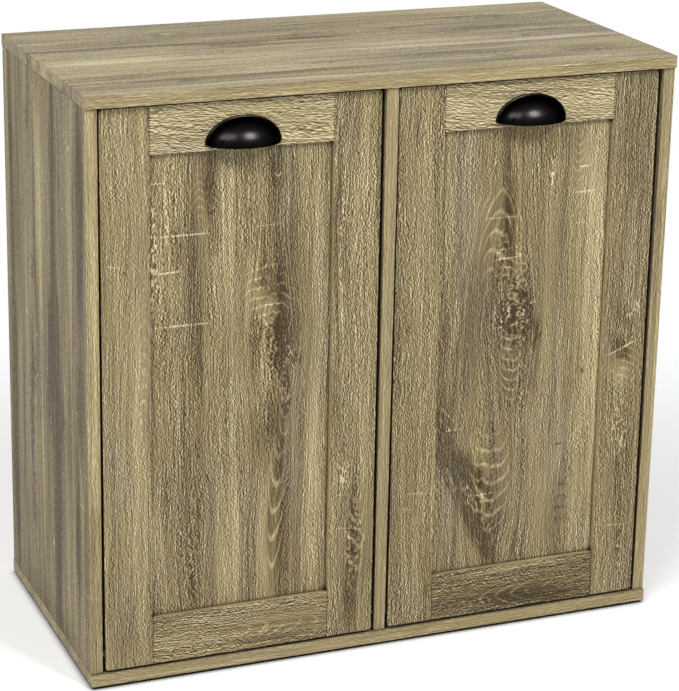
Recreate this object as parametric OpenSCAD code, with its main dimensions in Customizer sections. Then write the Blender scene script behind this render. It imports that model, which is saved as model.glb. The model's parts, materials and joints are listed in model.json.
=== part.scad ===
// Laundry sorter cabinet: a case with two bays, each closed by a door that tilts out on pivot pins
// and carries a canvas laundry bag on two rods.

/* [Case] */
// Overall width of the case
case_w = 610; // [560:5:800]
// Depth of the top and bottom panels
case_d = 300; // [280:5:380]
// Height of the case without its glides
case_h = 590; // [540:5:720]
// Thickness of the case boards
board_t = 12; // [12:1:18]
// How far the top and bottom panels stand in front of the sides
front_overhang = 3; // [0:0.5:8]
// How far the top and bottom panels reach behind the sides
rear_overhang = 3; // [0:0.5:4]
// Thickness of the back panels
back_t = 3; // [2.5:0.5:5]
// Distance from the rear edge of the case to the back panels
back_inset = 8; // [7:1:20]
// Depth of the grooves that hold the back panels
back_groove = 5; // [3:0.5:7]
// Height of the glides under the case
glide_h = 2.5; // [2:0.5:8]
// Diameter of the glides
glide_d = 18; // [12:1:20]

/* [Doors] */
// Thickness of the door frames
door_t = 15; // [14:0.5:20]
// Gap at each side of a door
door_side_gap = 3.2; // [2.5:0.1:5]
// Gap under a door
door_bottom_gap = 2.2; // [2.2:0.1:5]
// Gap over a door
door_top_gap = 3.2; // [2.5:0.1:6]
// Angle at which a shut door leans into the case
door_lean = 0.55; // [0:0.05:1]
// Angle through which a door tilts out
tilt_max = 35; // [20:1:40]
// Width of the door stiles
stile_w = 48; // [44:1:60]
// Height of the top rails
top_rail_h = 46; // [44:1:60]
// Height of the bottom rails
bottom_rail_h = 49; // [44:1:70]
// Depth from the door face to the sunk panel
recess = 6; // [3:0.5:7]
// Thickness of the sunk panels
panel_t = 5; // [4:0.5:6]
// Depth of the grooves that hold the sunk panels
panel_groove = 6; // [5:0.5:6.5]
// Radius of the door corners
door_corner = 3; // [1:0.5:5]
// Height of the pivot axis above the lower edge of a door
pivot_rise = 16; // [16:0.5:24]
// Diameter of the pivot pins
pivot_d = 6; // [5:0.5:7]

/* [Pulls] */
// Overall width of a cup pull
pull_w = 76; // [70:1:100]
// Overall height of a cup pull
pull_h = 26.4; // [24:0.2:32]
// Width of the rim round a cup pull
pull_rim = 1.6; // [1:0.1:3]
// Wall of a cup pull
pull_wall = 2; // [1.5:0.1:3]
// Height of a pull above the lower edge of its rail
pull_lift = 5.5; // [5:0.5:8]
// Spacing of the two screws of a pull
pull_pitch = 50; // [40:1:52]

/* [Bags] */
// Width of a laundry bag
bag_w = 228; // [190:2:228]
// Gap from the rear rod to the back panel
bag_rear_gap = 45; // [40:1:80]
// Gap from the door to the front rod
bag_front_gap = 16; // [14:1:30]
// Height of a bag's base above the case floor
bag_floor_gap = 46; // [30:1:80]
// Depth of a bag's base from front to rear
bag_base_d = 150; // [100:2:160]
// How far each side of a bag draws in towards its base
bag_taper = 14; // [4:1:30]
// Thickness of the bag cloth and its folds
bag_wall = 2; // [1.5:0.25:3]
// Diameter of the bag rods
rod_d = 8; // [6:0.5:10]
// Thickness of the rod arms
arm_t = 2.5; // [2:0.25:4]
// Radial room left under the top panel as the arms swing out
swing_gap = 16; // [14:1:40]

/* [Stays] */
// Radius of the curved door stays
stay_r = 330; // [300:5:360]
// Width of the stay strip
stay_w = 12; // [8:1:16]
// Thickness of the stay strip
stay_t = 3; // [2:0.25:4]

/* [Hidden] */
$fn = 48;

// Colours of the object
oak = [0.62, 0.56, 0.43];
hardboard = [0.45, 0.36, 0.25];
beech = [0.78, 0.64, 0.45];
zinc = [0.66, 0.67, 0.68];
black_metal = [0.04, 0.04, 0.045];
nylon = [0.86, 0.85, 0.8];
canvas = [0.8, 0.76, 0.66];

// Clearances of fitted pieces
fit_gap = 0.1;
slide_gap = 0.5;
running_gap = 0.05;
cut = 1;

// Heights and widths inside the case
inner_z0 = glide_h + board_t;
inner_z1 = glide_h + case_h - board_t;
inner_h = inner_z1 - inner_z0;
side_x = (case_w - board_t) / 2;
bay_w = (case_w - 3 * board_t) / 2;
bay_x = (bay_w + board_t) / 2;
back_y = case_d - back_inset - back_t;

// Case fittings: cam bolts, dowels and base screws, set in from the front and rear edges
cam_setin = 45;
dowel_setin = 78;
cam_depth = 24;
cam_d = 15;
cam_h = 9;
cam_head_d = 6.4;
cam_stem_d = 4;
cam_thread_d = 5;
cam_thread_l = 8.5;
cam_bore_d = 7;
cam_slot_w = 1.4;
cam_slot_depth = 1.2;
dowel_d = 6;
dowel_l = 28;
dowel_bite = 8;
base_screw_d = 5;
base_screw_l = 46;
base_head_d = 9;
base_head_h = 4;
cam_y = [front_overhang + cam_setin, case_d - cam_setin];
dowel_y = [front_overhang + dowel_setin, case_d - dowel_setin];

// Glides stand in from the edges of the bottom panel
glide_inset = 25;
glide_nail_d = 2;
glide_nail_l = 9;
glide_x = case_w / 2 - glide_inset;

// Door sizes, with the pivot axis in the middle of the frame's thickness
door_w = bay_w - 2 * door_side_gap;
door_h = inner_h - door_bottom_gap - door_top_gap;
door_y = front_overhang;
door_z = inner_z0 + door_bottom_gap;
door_back = door_y + door_t;
pivot_y = door_y + door_t / 2;
pivot_z = door_z + pivot_rise;
rail_w = door_w - 2 * stile_w;
top_rail_z = door_z + door_h - top_rail_h;
panel_z0 = door_z + bottom_rail_h;
door_dowel_d = 6;
door_dowel_l = 30;
door_dowel_pitch = 22;
bush_wall = 1.4;
bush_l = 12;
bush_flange = 1;
bush_flange_d = pivot_d + 6;
bush_d = pivot_d + 2 * bush_wall;
pin_bite = 9;

// Cup pull: a quarter turn of an ellipse about the pull's lower rear edge
pull_z = top_rail_z + pull_lift;
pull_a = pull_w / 2 - pull_rim;
pull_r = pull_h - pull_rim;
pull_rim_t = 1.8;
pull_boss_d = 7;
pull_boss_z = 4.4;
pull_thread_depth = 8;
pull_screw_d = 4;
pull_head_d = 8;
pull_head_h = 2.6;
pull_steps = 24;

// Magnetic catch under the top panel and its strike plate on the door
catch_w = 46;
catch_d = 14;
catch_h = 14;
catch_gap = 0.4;
catch_wall = 2;
catch_pitch = 36;
magnet_w = 24;
magnet_h = 9;
strike_w = 52;
strike_pitch = 40;
strike_h = 12;
strike_t = 1.5;
strike_drop = 2.5;

// Small wood screws that hold the strike plate, arms, stays, guides and catches
screw_d = 3;
screw_l = 9;
screw_head_d = 6;
screw_head_h = 1.6;

// Places of the bag rods, measured in the shut door before it leans
rod_r = rod_d / 2;
front_rod_y = door_back + bag_front_gap;
rear_rod_y = back_y - bag_rear_gap;
arm_nose = 10;
arm_half_h = 8;
arm_foot_h = 44;
arm_foot_w = 20;
arm_tip_y = rear_rod_y + arm_nose - pivot_y;
swing_r = inner_z1 - pivot_z - swing_gap;
rod_z = pivot_z + sqrt(swing_r * swing_r - arm_tip_y * arm_tip_y) - arm_half_h;
bag_arm_gap = 4;
arm_stile_gap = 5;
arm_x = max(bag_w / 2 + bag_arm_gap, rail_w / 2 + arm_stile_gap + arm_foot_w);
collar_d = rod_d + 4;
collar_t = 3;
notch_gap = 0.2;

// Laundry bag
sleeve_gap = 0.4;
sleeve_r = rod_r + sleeve_gap + bag_wall;
sleeve_setin = 2;
sleeve_root = 3;
bag_base_z = inner_z0 + bag_floor_gap;
bag_corner = 12;
sleeve_l = bag_w - 2 * (bag_corner + sleeve_setin);
bag_drop = 14;
bag_base_y = front_rod_y;

// Curved stay, its guide on the case side and its stop pin
stay_x = door_w / 2 - 4.8;
stay_gap = 0.6;
stay_foot_w = 18;
stay_foot_h = 34;
stay_foot_t = 2.5;
guide_w = bay_w / 2 - stay_x + stay_t + 4;
guide_l = 12;
guide_flange_t = 3;
guide_h = stay_w + 34;
guide_clear = 0.8;
guide_pitch = stay_w + 20;
stop_pin_d = 5;
stop_pin_reach = 3.5;
stop_gap = 0.3;
stay_foot_z = pivot_z + sqrt(stay_r * stay_r - pow(door_t / 2, 2));
guide_y = door_back + stay_foot_t + screw_head_h + guide_clear
    + (stay_foot_z + stay_foot_h / 2 - pivot_z) * sin(door_lean);
guide_rear_angle = asin((guide_y + guide_l - pivot_y + stop_pin_d / 2 + stop_gap) / (stay_r - stay_w / 2));
stop_angle = guide_rear_angle + tilt_max - door_lean;
stay_end_angle = stop_angle + 1.2;
stay_start_angle = asin((door_t / 2 + stay_foot_t / 2) / stay_r);

// Centre of the footprint: the pulls reach furthest forward and the case furthest back
pull_front = pivot_y + (door_y - pull_r - pivot_y) * cos(door_lean) + (pull_z - pivot_z) * sin(door_lean);
centre_y = (pull_front + case_d) / 2;

// The whole object stands with the centre of its footprint at the origin
module placed() { translate([0, -centre_y, 0]) children(); }

// A door's own pieces: placed in their bay and leant with the shut door
module on_door(side) {
    placed()
        translate([side * bay_x, pivot_y, pivot_z])
            rotate([-door_lean, 0, 0])
                translate([0, -pivot_y, -pivot_z])
                    children();
}

// Turns a piece drawn at the right of its bay to the left when side is -1
module handed(side) {
    if (side < 0) mirror([1, 0, 0]) children();
    else children();
}

module box(low, high) { translate(low) cube(high - low); }

// A round bar along X, Y or Z from a point
module bar_x(at, d, l) { translate(at) rotate([0, 90, 0]) cylinder(d = d, h = l); }
module bar_y(at, d, l) { translate(at) rotate([-90, 0, 0]) cylinder(d = d, h = l); }
module bar_z(at, d, l) { translate(at) cylinder(d = d, h = l); }

// A pan-head wood screw with its head's seat at the origin, pointing along +Z
module wood_screw() {
    translate([0, 0, -screw_head_h]) cylinder(d = screw_head_d, h = screw_head_h);
    cylinder(d = screw_d, h = screw_l);
}
module wood_screw_hole() { cylinder(d = screw_d + 2 * running_gap, h = screw_l + slide_gap); }

// Where the uprights meet the top and bottom panels
module at_uprights(ys) {
    for (x = [-side_x, 0, side_x], y = ys) translate([x, y, 0]) children();
}

// Case joints

module cam_bolt() {
    translate([0, 0, inner_z1]) cylinder(d = cam_thread_d, h = cam_thread_l);
    translate([0, 0, inner_z1 - cam_depth]) cylinder(d = cam_stem_d, h = cam_depth + cut);
    translate([0, 0, inner_z1 - cam_depth - cam_head_d / 4]) cylinder(d = cam_head_d, h = cam_head_d / 2);
}

// The cam disc of the upright at x, let into its inner face; the divider's discs open to the right
module cam_disc(x) {
    face = x < 0 ? 1 : (x > 0 ? -1 : 1);
    translate([x + face * board_t / 2, 0, inner_z1 - cam_depth])
        rotate([0, -face * 90, 0])
            difference() {
                cylinder(d = cam_d - 2 * fit_gap, h = cam_h);
                translate([0, 0, -cut])
                    for (a = [45, 135]) rotate([0, 0, a])
                        translate([-cam_d / 3, -cam_slot_w / 2, 0])
                            cube([cam_d * 2 / 3, cam_slot_w, cut + cam_slot_depth]);
                translate([0, 0, board_t / 2]) rotate([0, face * 90, 0])
                    translate([0, 0, -cam_bore_d / 2]) cylinder(d = cam_bore_d, h = cam_d);
            }
}

module cam_pocket(x) {
    face = x < 0 ? 1 : (x > 0 ? -1 : 1);
    translate([x + face * (board_t / 2 + cut), 0, inner_z1 - cam_depth])
        rotate([0, -face * 90, 0]) cylinder(d = cam_d, h = cam_h + fit_gap + cut);
}

module case_dowel() { cylinder(d = dowel_d, h = dowel_l, center = true); }
module case_dowel_hole() {
    cylinder(d = dowel_d + 2 * fit_gap, h = dowel_l + 2 * slide_gap, center = true);
}
// The dowels sit mostly in the uprights
module at_case_dowels() {
    at_uprights(dowel_y) {
        translate([0, 0, inner_z1 + dowel_bite - dowel_l / 2]) children();
        translate([0, 0, inner_z0 - dowel_bite + dowel_l / 2]) children();
    }
}

module base_screw(gap = 0, over = 0) {
    translate([0, 0, glide_h - over]) cylinder(d = base_head_d + 2 * gap, h = over + 0.01);
    translate([0, 0, glide_h])
        cylinder(d1 = base_head_d + 2 * gap, d2 = base_screw_d + 2 * gap, h = base_head_h);
    translate([0, 0, glide_h + base_head_h / 2])
        cylinder(d = base_screw_d + 2 * gap, h = base_screw_l - base_head_h / 2 + over);
}

module at_glides() {
    for (x = [-glide_x, 0, glide_x], y = [glide_inset, case_d - glide_inset])
        translate([x, y, 0]) children();
}

// The slots for both back panels, cut into the boards that meet them
module back_slots() {
    for (side = [-1, 1])
        box([side * bay_x - bay_w / 2 - back_groove, back_y - fit_gap, inner_z0 - back_groove],
            [side * bay_x + bay_w / 2 + back_groove, back_y + back_t + fit_gap, inner_z1 + back_groove]);
}

// Case boards

module top_panel() {
    color(oak) placed() difference() {
        box([-case_w / 2, 0, inner_z1], [case_w / 2, case_d, inner_z1 + board_t]);
        back_slots();
        at_uprights(cam_y)
            translate([0, 0, inner_z1 - cut])
                cylinder(d = cam_thread_d + 2 * fit_gap, h = cam_thread_l + fit_gap + cut);
        at_case_dowels() case_dowel_hole();
        at_catch_screws() wood_screw_hole();
    }
}

module bottom_panel() {
    color(oak) placed() difference() {
        box([-case_w / 2, 0, glide_h], [case_w / 2, case_d, inner_z0]);
        back_slots();
        at_uprights(cam_y) base_screw(fit_gap, cut);
        at_case_dowels() case_dowel_hole();
        at_glides()
            translate([0, 0, glide_h - cut])
                cylinder(d = glide_nail_d + 2 * fit_gap, h = glide_nail_l + fit_gap + cut);
    }
}

// A side or the divider, with every groove and hole that it takes
module upright(x) {
    difference() {
        box([x - board_t / 2, front_overhang, inner_z0],
            [x + board_t / 2, case_d - rear_overhang, inner_z1]);
        back_slots();
        at_uprights(cam_y) {
            base_screw(fit_gap, 0);
            translate([0, 0, inner_z1 - cam_depth - cam_bore_d / 2])
                cylinder(d = cam_bore_d, h = cam_depth + cam_bore_d);
        }
        for (y = cam_y) translate([0, y, 0]) cam_pocket(x);
        at_case_dowels() case_dowel_hole();
        pivot_pin_bars(2 * fit_gap, slide_gap);
        for (side = [-1, 1]) at_guide_screws(side) wood_screw_hole();
    }
}

module left_side() { color(oak) placed() upright(-side_x); }
module right_side() { color(oak) placed() upright(side_x); }
module divider() { color(oak) placed() upright(0); }

module back_panel(side) {
    reach = back_groove - slide_gap;
    color(hardboard) placed()
        box([side * bay_x - bay_w / 2 - reach, back_y, inner_z0 - reach],
            [side * bay_x + bay_w / 2 + reach, back_y + back_t, inner_z1 + reach]);
}

module glides() {
    color(nylon) placed() at_glides() {
        cylinder(d = glide_d, h = glide_h);
        cylinder(d = glide_nail_d, h = glide_h + glide_nail_l);
    }
}

module cam_bolts() { color(zinc) placed() at_uprights(cam_y) cam_bolt(); }

module cam_discs() {
    color(zinc) placed() for (x = [-side_x, 0, side_x], y = cam_y) translate([0, y, 0]) cam_disc(x);
}

module case_dowels() { color(beech) placed() at_case_dowels() case_dowel(); }

module base_screws() { color(zinc) placed() at_uprights(cam_y) base_screw(); }

// Pivot pins: one into each side, and one through the divider for both doors
module pivot_pin_bars(gap, over) {
    outer_l = pin_bite + door_side_gap + bush_l;
    for (side = [-1, 1])
        handed(side)
            bar_x([bay_x + bay_w / 2 + pin_bite - outer_l, pivot_y, pivot_z],
                  pivot_d + gap, outer_l + over);
    inner_l = board_t + 2 * (door_side_gap + bush_l);
    bar_x([-inner_l / 2, pivot_y, pivot_z], pivot_d + gap, inner_l);
}

module pivot_pins() { color(zinc) placed() pivot_pin_bars(0, 0); }

// Magnetic catches, hung under the top panel just behind the doors
strike_z = door_z + door_h - strike_drop - strike_h / 2;
catch_y = pivot_y + (door_back + strike_t - pivot_y) * cos(door_lean)
    + (door_z + door_h - pivot_z) * sin(door_lean) + catch_gap;

module at_catch_screws() {
    for (side = [-1, 1], x = [-catch_pitch / 2, catch_pitch / 2])
        translate([side * bay_x + x, catch_y + catch_d / 2, inner_z1 - catch_wall]) children();
}

module catch_magnet_space(side, gap) {
    box([side * bay_x - magnet_w / 2 - gap, catch_y - gap, inner_z1 - catch_h + catch_wall - gap],
        [side * bay_x + magnet_w / 2 + gap, catch_y + catch_d - catch_wall + gap,
         inner_z1 - catch_h + catch_wall + magnet_h + gap]);
}

module catch_cases() {
    color(nylon) placed() for (side = [-1, 1])
        difference() {
            union() {
                box([side * bay_x - catch_w / 2, catch_y, inner_z1 - catch_wall],
                    [side * bay_x + catch_w / 2, catch_y + catch_d, inner_z1]);
                box([side * bay_x - magnet_w / 2 - catch_wall, catch_y, inner_z1 - catch_h],
                    [side * bay_x + magnet_w / 2 + catch_wall, catch_y + catch_d, inner_z1]);
            }
            catch_magnet_space(side, fit_gap);
            at_catch_screws() wood_screw_hole();
        }
}

module catch_magnets() { color(black_metal) placed() for (side = [-1, 1]) catch_magnet_space(side, 0); }

// Stay guides: blocks on the outer sides of the bays, slotted for the curved strip

module at_guide_screws(side) {
    handed(side)
        for (z = [-guide_pitch / 2, guide_pitch / 2])
            translate([bay_x + bay_w / 2 - guide_w, guide_y + guide_l / 2, guide_z + z])
                translate([guide_w - guide_flange_t, 0, 0]) rotate([0, 90, 0]) children();
}
guide_z = pivot_z + sqrt(stay_r * stay_r - pow(guide_y + guide_l / 2 - pivot_y, 2));
guide_body_h = stay_w + 2 * stay_gap + 5;

// A ring sector about the pivot axis, wide in X and centred at x, from one angle behind upright to another
module stay_sector(x, width, radial, from, to) {
    translate([x - width / 2, pivot_y, pivot_z])
        rotate([0, 90, 0]) rotate([0, 0, 180 - to])
            rotate_extrude(angle = to - from, $fn = 360)
                translate([stay_r - radial / 2, 0]) square([radial, width]);
}

module stay_guide(side) {
    wall_x = bay_x + bay_w / 2;
    color(nylon) placed() difference() {
        handed(side) union() {
            box([wall_x - guide_w, guide_y, guide_z - guide_body_h / 2],
                [wall_x, guide_y + guide_l, guide_z + guide_body_h / 2]);
            box([wall_x - guide_flange_t, guide_y, guide_z - guide_h / 2],
                [wall_x, guide_y + guide_l, guide_z + guide_h / 2]);
        }
        handed(side)
            stay_sector(bay_x + stay_x, stay_t + 2 * stay_gap, stay_w + 2 * stay_gap, 0, 10);
        at_guide_screws(side) wood_screw_hole();
    }
}

module case_wood_screws() {
    color(zinc) placed() {
        at_catch_screws() wood_screw();
        for (side = [-1, 1]) at_guide_screws(side) wood_screw();
    }
}

// Door frames and panels

module at_rail_dowels() {
    for (side = [-1, 1], z = [top_rail_z + top_rail_h / 2, door_z + bottom_rail_h / 2],
         dz = [-door_dowel_pitch / 2, door_dowel_pitch / 2])
        translate([side * rail_w / 2, pivot_y, z + dz]) rotate([0, 90, 0]) children();
}

module door_dowel_hole() {
    cylinder(d = door_dowel_d + 2 * fit_gap, h = door_dowel_l + 2 * slide_gap, center = true);
}

module door_panel_board(gap, reach) {
    box([-rail_w / 2 - reach, door_y + recess - gap, panel_z0 - reach],
        [rail_w / 2 + reach, door_y + recess + panel_t + gap, top_rail_z + reach]);
}

// The outline of a door with its rounded corners, through its whole thickness
module door_block() {
    translate([0, door_back, door_z + door_h / 2]) rotate([90, 0, 0]) linear_extrude(door_t)
        union() {
            square([door_w - 2 * door_corner, door_h], center = true);
            square([door_w, door_h - 2 * door_corner], center = true);
            for (x = [-1, 1], z = [-1, 1])
                translate([x * (door_w / 2 - door_corner), z * (door_h / 2 - door_corner)])
                    circle(r = door_corner);
        }
}

// A stile at the right of the door, at the left when drawn with handed(-1)
module stile(outer) {
    difference() {
        intersection() {
            door_block();
            box([rail_w / 2, door_y - cut, door_z - cut],
                [door_w / 2 + cut, door_back + cut, door_z + door_h + cut]);
        }
        door_panel_board(fit_gap, panel_groove);
        at_rail_dowels() door_dowel_hole();
        bar_x([door_w / 2 - bush_l - slide_gap, pivot_y, pivot_z],
              bush_d + 2 * running_gap, bush_l + 2 * slide_gap);
        at_arm_screws() wood_screw_hole();
        if (outer) at_stay_screws() wood_screw_hole();
    }
}

module door_stile(side, outer) {
    color(oak) on_door(side) handed(outer ? side : -side) stile(outer);
}

module door_top_rail(side) {
    color(oak) on_door(side) difference() {
        box([-rail_w / 2, door_y, top_rail_z], [rail_w / 2, door_back, door_z + door_h]);
        door_panel_board(fit_gap, panel_groove);
        at_rail_dowels() door_dowel_hole();
        at_pull_screws() translate([0, 0, -cut])
            cylinder(d = pull_screw_d + 2 * fit_gap, h = door_t + 2 * cut);
        at_strike_screws() wood_screw_hole();
    }
}

module door_bottom_rail(side) {
    color(oak) on_door(side) difference() {
        box([-rail_w / 2, door_y, door_z], [rail_w / 2, door_back, panel_z0]);
        door_panel_board(fit_gap, panel_groove);
        at_rail_dowels() door_dowel_hole();
    }
}

module door_panel(side) { color(oak) on_door(side) door_panel_board(0, panel_groove - slide_gap); }

module door_dowels(side) {
    color(beech) on_door(side) at_rail_dowels()
        cylinder(d = door_dowel_d, h = door_dowel_l, center = true);
}

module pivot_bushes(side) {
    color(nylon) on_door(side) for (end = [-1, 1]) handed(end) difference() {
        union() {
            bar_x([door_w / 2 - bush_l, pivot_y, pivot_z], bush_d, bush_l);
            bar_x([door_w / 2, pivot_y, pivot_z], bush_flange_d, bush_flange);
        }
        bar_x([door_w / 2 - bush_l - cut, pivot_y, pivot_z],
              pivot_d + 2 * running_gap, bush_l + bush_flange + 2 * cut);
    }
}

// Cup pull and its screws

function half_ellipse(a, r) = [
    for (i = [0:pull_steps])
        let (t = 180 * i / pull_steps - 90)
        [r * cos(t), a * sin(t)]
];

// A turn of a half ellipse about the pull's lower rear edge, over the given angles below upright
module pull_dome(a, r, from, to) {
    translate([0, door_y, pull_z])
        rotate([0, 90, 0]) rotate([0, 0, 180 + from])
            rotate_extrude(angle = to - from, $fn = 96) polygon(half_ellipse(a, r));
}

module at_pull_screws() {
    for (x = [-pull_pitch / 2, pull_pitch / 2])
        translate([x, door_y, pull_z + pull_boss_z]) rotate([-90, 0, 0]) children();
}

module cup_pull(side) {
    color(black_metal) on_door(side) difference() {
        union() {
            difference() {
                union() {
                    pull_dome(pull_a, pull_r, 0, 90);
                    translate([0, door_y, pull_z]) rotate([90, 0, 0])
                        linear_extrude(pull_rim_t) rotate([0, 0, 90])
                            polygon(half_ellipse(pull_a + pull_rim, pull_r + pull_rim));
                }
                pull_dome(pull_a - pull_wall, pull_r - pull_wall, -4, 94);
            }
            intersection() {
                at_pull_screws() translate([0, 0, -pull_r]) cylinder(d = pull_boss_d, h = pull_r);
                pull_dome(pull_a - pull_wall / 2, pull_r - pull_wall / 2, 0, 90);
            }
        }
        at_pull_screws() translate([0, 0, -pull_thread_depth])
            cylinder(d = pull_screw_d + 2 * running_gap, h = pull_thread_depth + cut);
    }
}

module pull_screws(side) {
    color(zinc) on_door(side) at_pull_screws() {
        translate([0, 0, slide_gap - pull_thread_depth])
            cylinder(d = pull_screw_d, h = door_t + pull_thread_depth);
        translate([0, 0, door_t]) cylinder(d = pull_head_d, h = pull_head_h);
    }
}

// Strike plate on the rear of the top rail

module at_strike_screws() {
    for (x = [-strike_pitch / 2, strike_pitch / 2])
        translate([x, door_back + strike_t, strike_z]) rotate([90, 0, 0]) children();
}

module strike_plate(side) {
    color(zinc) on_door(side) difference() {
        box([-strike_w / 2, door_back, strike_z - strike_h / 2],
            [strike_w / 2, door_back + strike_t, strike_z + strike_h / 2]);
        at_strike_screws() wood_screw_hole();
    }
}

// Rod arms: steel brackets screwed to the rear of the stiles, notched for the two rods

module at_arm_screws() {
    for (z = [-arm_foot_h / 2 + 8, arm_foot_h / 2 - 8])
        translate([arm_x - arm_foot_w / 2, door_back + arm_t, rod_z + z]) rotate([90, 0, 0]) children();
}

module rod_notch(y) {
    bar_x([arm_x - cut, y, rod_z], rod_d + 2 * notch_gap, arm_t + 2 * cut);
    box([arm_x - cut, y - rod_r - notch_gap, rod_z],
        [arm_x + arm_t + cut, y + rod_r + notch_gap, rod_z + arm_foot_h]);
}

module rod_arm(side, outer) {
    color(zinc) on_door(side) handed(outer ? side : -side) difference() {
        union() {
            box([arm_x - arm_foot_w, door_back, rod_z - arm_foot_h / 2],
                [arm_x + arm_t, door_back + arm_t, rod_z + arm_foot_h / 2]);
            translate([arm_x, 0, 0]) rotate([90, 0, 90]) linear_extrude(arm_t)
                polygon([
                    [door_back, rod_z - arm_foot_h / 2],
                    [rear_rod_y + arm_nose, rod_z - arm_half_h],
                    [rear_rod_y + arm_nose, rod_z + arm_half_h],
                    [front_rod_y, rod_z + arm_half_h],
                    [door_back, rod_z + arm_foot_h / 2]
                ]);
        }
        rod_notch(front_rod_y);
        rod_notch(rear_rod_y);
        at_arm_screws() wood_screw_hole();
    }
}

module bag_rod(side, y) {
    color(zinc) on_door(side) {
        end = arm_x + arm_t + notch_gap;
        bar_x([-end, y, rod_z], rod_d, 2 * end);
        for (hand = [-1, 1]) handed(hand) bar_x([end, y, rod_z], collar_d, collar_t);
    }
}

// Laundry bag

// A block with round corners that draws in from the mouth to the base, inset all round
module bag_block(inset, base_z, top_z) {
    r = bag_corner - inset;
    hull() {
        for (x = [-1, 1], y = [front_rod_y + r + inset, rear_rod_y - r - inset])
            translate([x * (bag_w / 2 - inset - r), y, top_z])
                cylinder(r = r, h = 0.1, $fn = 24);
        for (x = [-1, 1], y = [bag_base_y + r + inset, bag_base_y + bag_base_d - r - inset])
            translate([x * (bag_w / 2 - bag_taper - inset - r), y, base_z])
                cylinder(r = r, h = 0.1, $fn = 24);
    }
}

module laundry_bag(side) {
    color(canvas) on_door(side) difference() {
        union() {
            difference() {
                bag_block(0, bag_base_z, rod_z - bag_drop);
                bag_block(bag_wall, bag_base_z + bag_wall, rod_z - bag_drop + cut);
            }
            for (y = [front_rod_y, rear_rod_y]) bar_x([-sleeve_l / 2, y, rod_z], 2 * sleeve_r, sleeve_l);
            for (y = [front_rod_y, rear_rod_y - bag_wall])
                box([-sleeve_l / 2, y, rod_z - bag_drop - sleeve_root],
                    [sleeve_l / 2, y + bag_wall, rod_z]);
        }
        for (y = [front_rod_y, rear_rod_y])
            bar_x([-bag_w / 2, y, rod_z], 2 * (rod_r + sleeve_gap), bag_w);
    }
}

// Curved stay: a strip about the pivot axis, a foot on the outer stile and a stop pin at its end

module at_stay_screws() {
    for (z = [-stay_foot_h / 2 + 7, stay_foot_h / 2 - 7])
        translate([stay_x - stay_t / 2 - stay_foot_w / 2 + 2, door_back + stay_foot_t, stay_foot_z + z])
            rotate([90, 0, 0]) children();
}

module door_stay(side) {
    color(zinc) on_door(side) handed(side) difference() {
        union() {
            stay_sector(stay_x, stay_t, stay_w, stay_start_angle, stay_end_angle);
            box([stay_x - stay_t / 2 - stay_foot_w, door_back, stay_foot_z - stay_foot_h / 2],
                [stay_x + stay_t / 2, door_back + stay_foot_t, stay_foot_z + stay_foot_h / 2]);
            translate([stay_x - stay_t / 2 - stop_pin_reach, pivot_y + stay_r * sin(stop_angle),
                       pivot_z + stay_r * cos(stop_angle)])
                rotate([0, 90, 0]) cylinder(d = stop_pin_d, h = stay_t + 2 * stop_pin_reach);
        }
        at_stay_screws() wood_screw_hole();
    }
}
module door_screws(side) {
    color(zinc) on_door(side) {
        at_strike_screws() wood_screw();
        for (hand = [-1, 1]) handed(hand) at_arm_screws() wood_screw();
        handed(side) at_stay_screws() wood_screw();
    }
}

top_panel();
bottom_panel();
left_side();
right_side();
divider();
back_panel(-1);  // left_back_panel
back_panel(1);  // right_back_panel
glides();
cam_bolts();
cam_discs();
case_dowels();
base_screws();
pivot_pins();
catch_cases();
catch_magnets();
case_wood_screws();
stay_guide(-1);  // left_stay_guide
stay_guide(1);  // right_stay_guide
door_stile(-1, true);  // left_door_outer_stile
door_stile(-1, false);  // left_door_inner_stile
door_top_rail(-1);  // left_door_top_rail
door_bottom_rail(-1);  // left_door_bottom_rail
door_panel(-1);  // left_door_panel
door_dowels(-1);  // left_door_dowels
pivot_bushes(-1);  // left_pivot_bushes
cup_pull(-1);  // left_cup_pull
pull_screws(-1);  // left_pull_screws
strike_plate(-1);  // left_strike_plate
door_stay(-1);  // left_door_stay
rod_arm(-1, true);  // left_outer_arm
rod_arm(-1, false);  // left_inner_arm
bag_rod(-1, front_rod_y);  // left_front_rod
bag_rod(-1, rear_rod_y);  // left_rear_rod
laundry_bag(-1);  // left_laundry_bag
door_screws(-1);  // left_door_screws
door_stile(1, true);  // right_door_outer_stile
door_stile(1, false);  // right_door_inner_stile
door_top_rail(1);  // right_door_top_rail
door_bottom_rail(1);  // right_door_bottom_rail
door_panel(1);  // right_door_panel
door_dowels(1);  // right_door_dowels
pivot_bushes(1);  // right_pivot_bushes
cup_pull(1);  // right_cup_pull
pull_screws(1);  // right_pull_screws
strike_plate(1);  // right_strike_plate
door_stay(1);  // right_door_stay
rod_arm(1, true);  // right_outer_arm
rod_arm(1, false);  // right_inner_arm
bag_rod(1, front_rod_y);  // right_front_rod
bag_rod(1, rear_rod_y);  // right_rear_rod
laundry_bag(1);  // right_laundry_bag
door_screws(1);  // right_door_screws
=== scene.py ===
"""Looks of the laundry sorter cabinet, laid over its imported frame."""
import json
import math
from collections import namedtuple

import bmesh
import bpy
from mathutils import Matrix, Vector, noise

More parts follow.
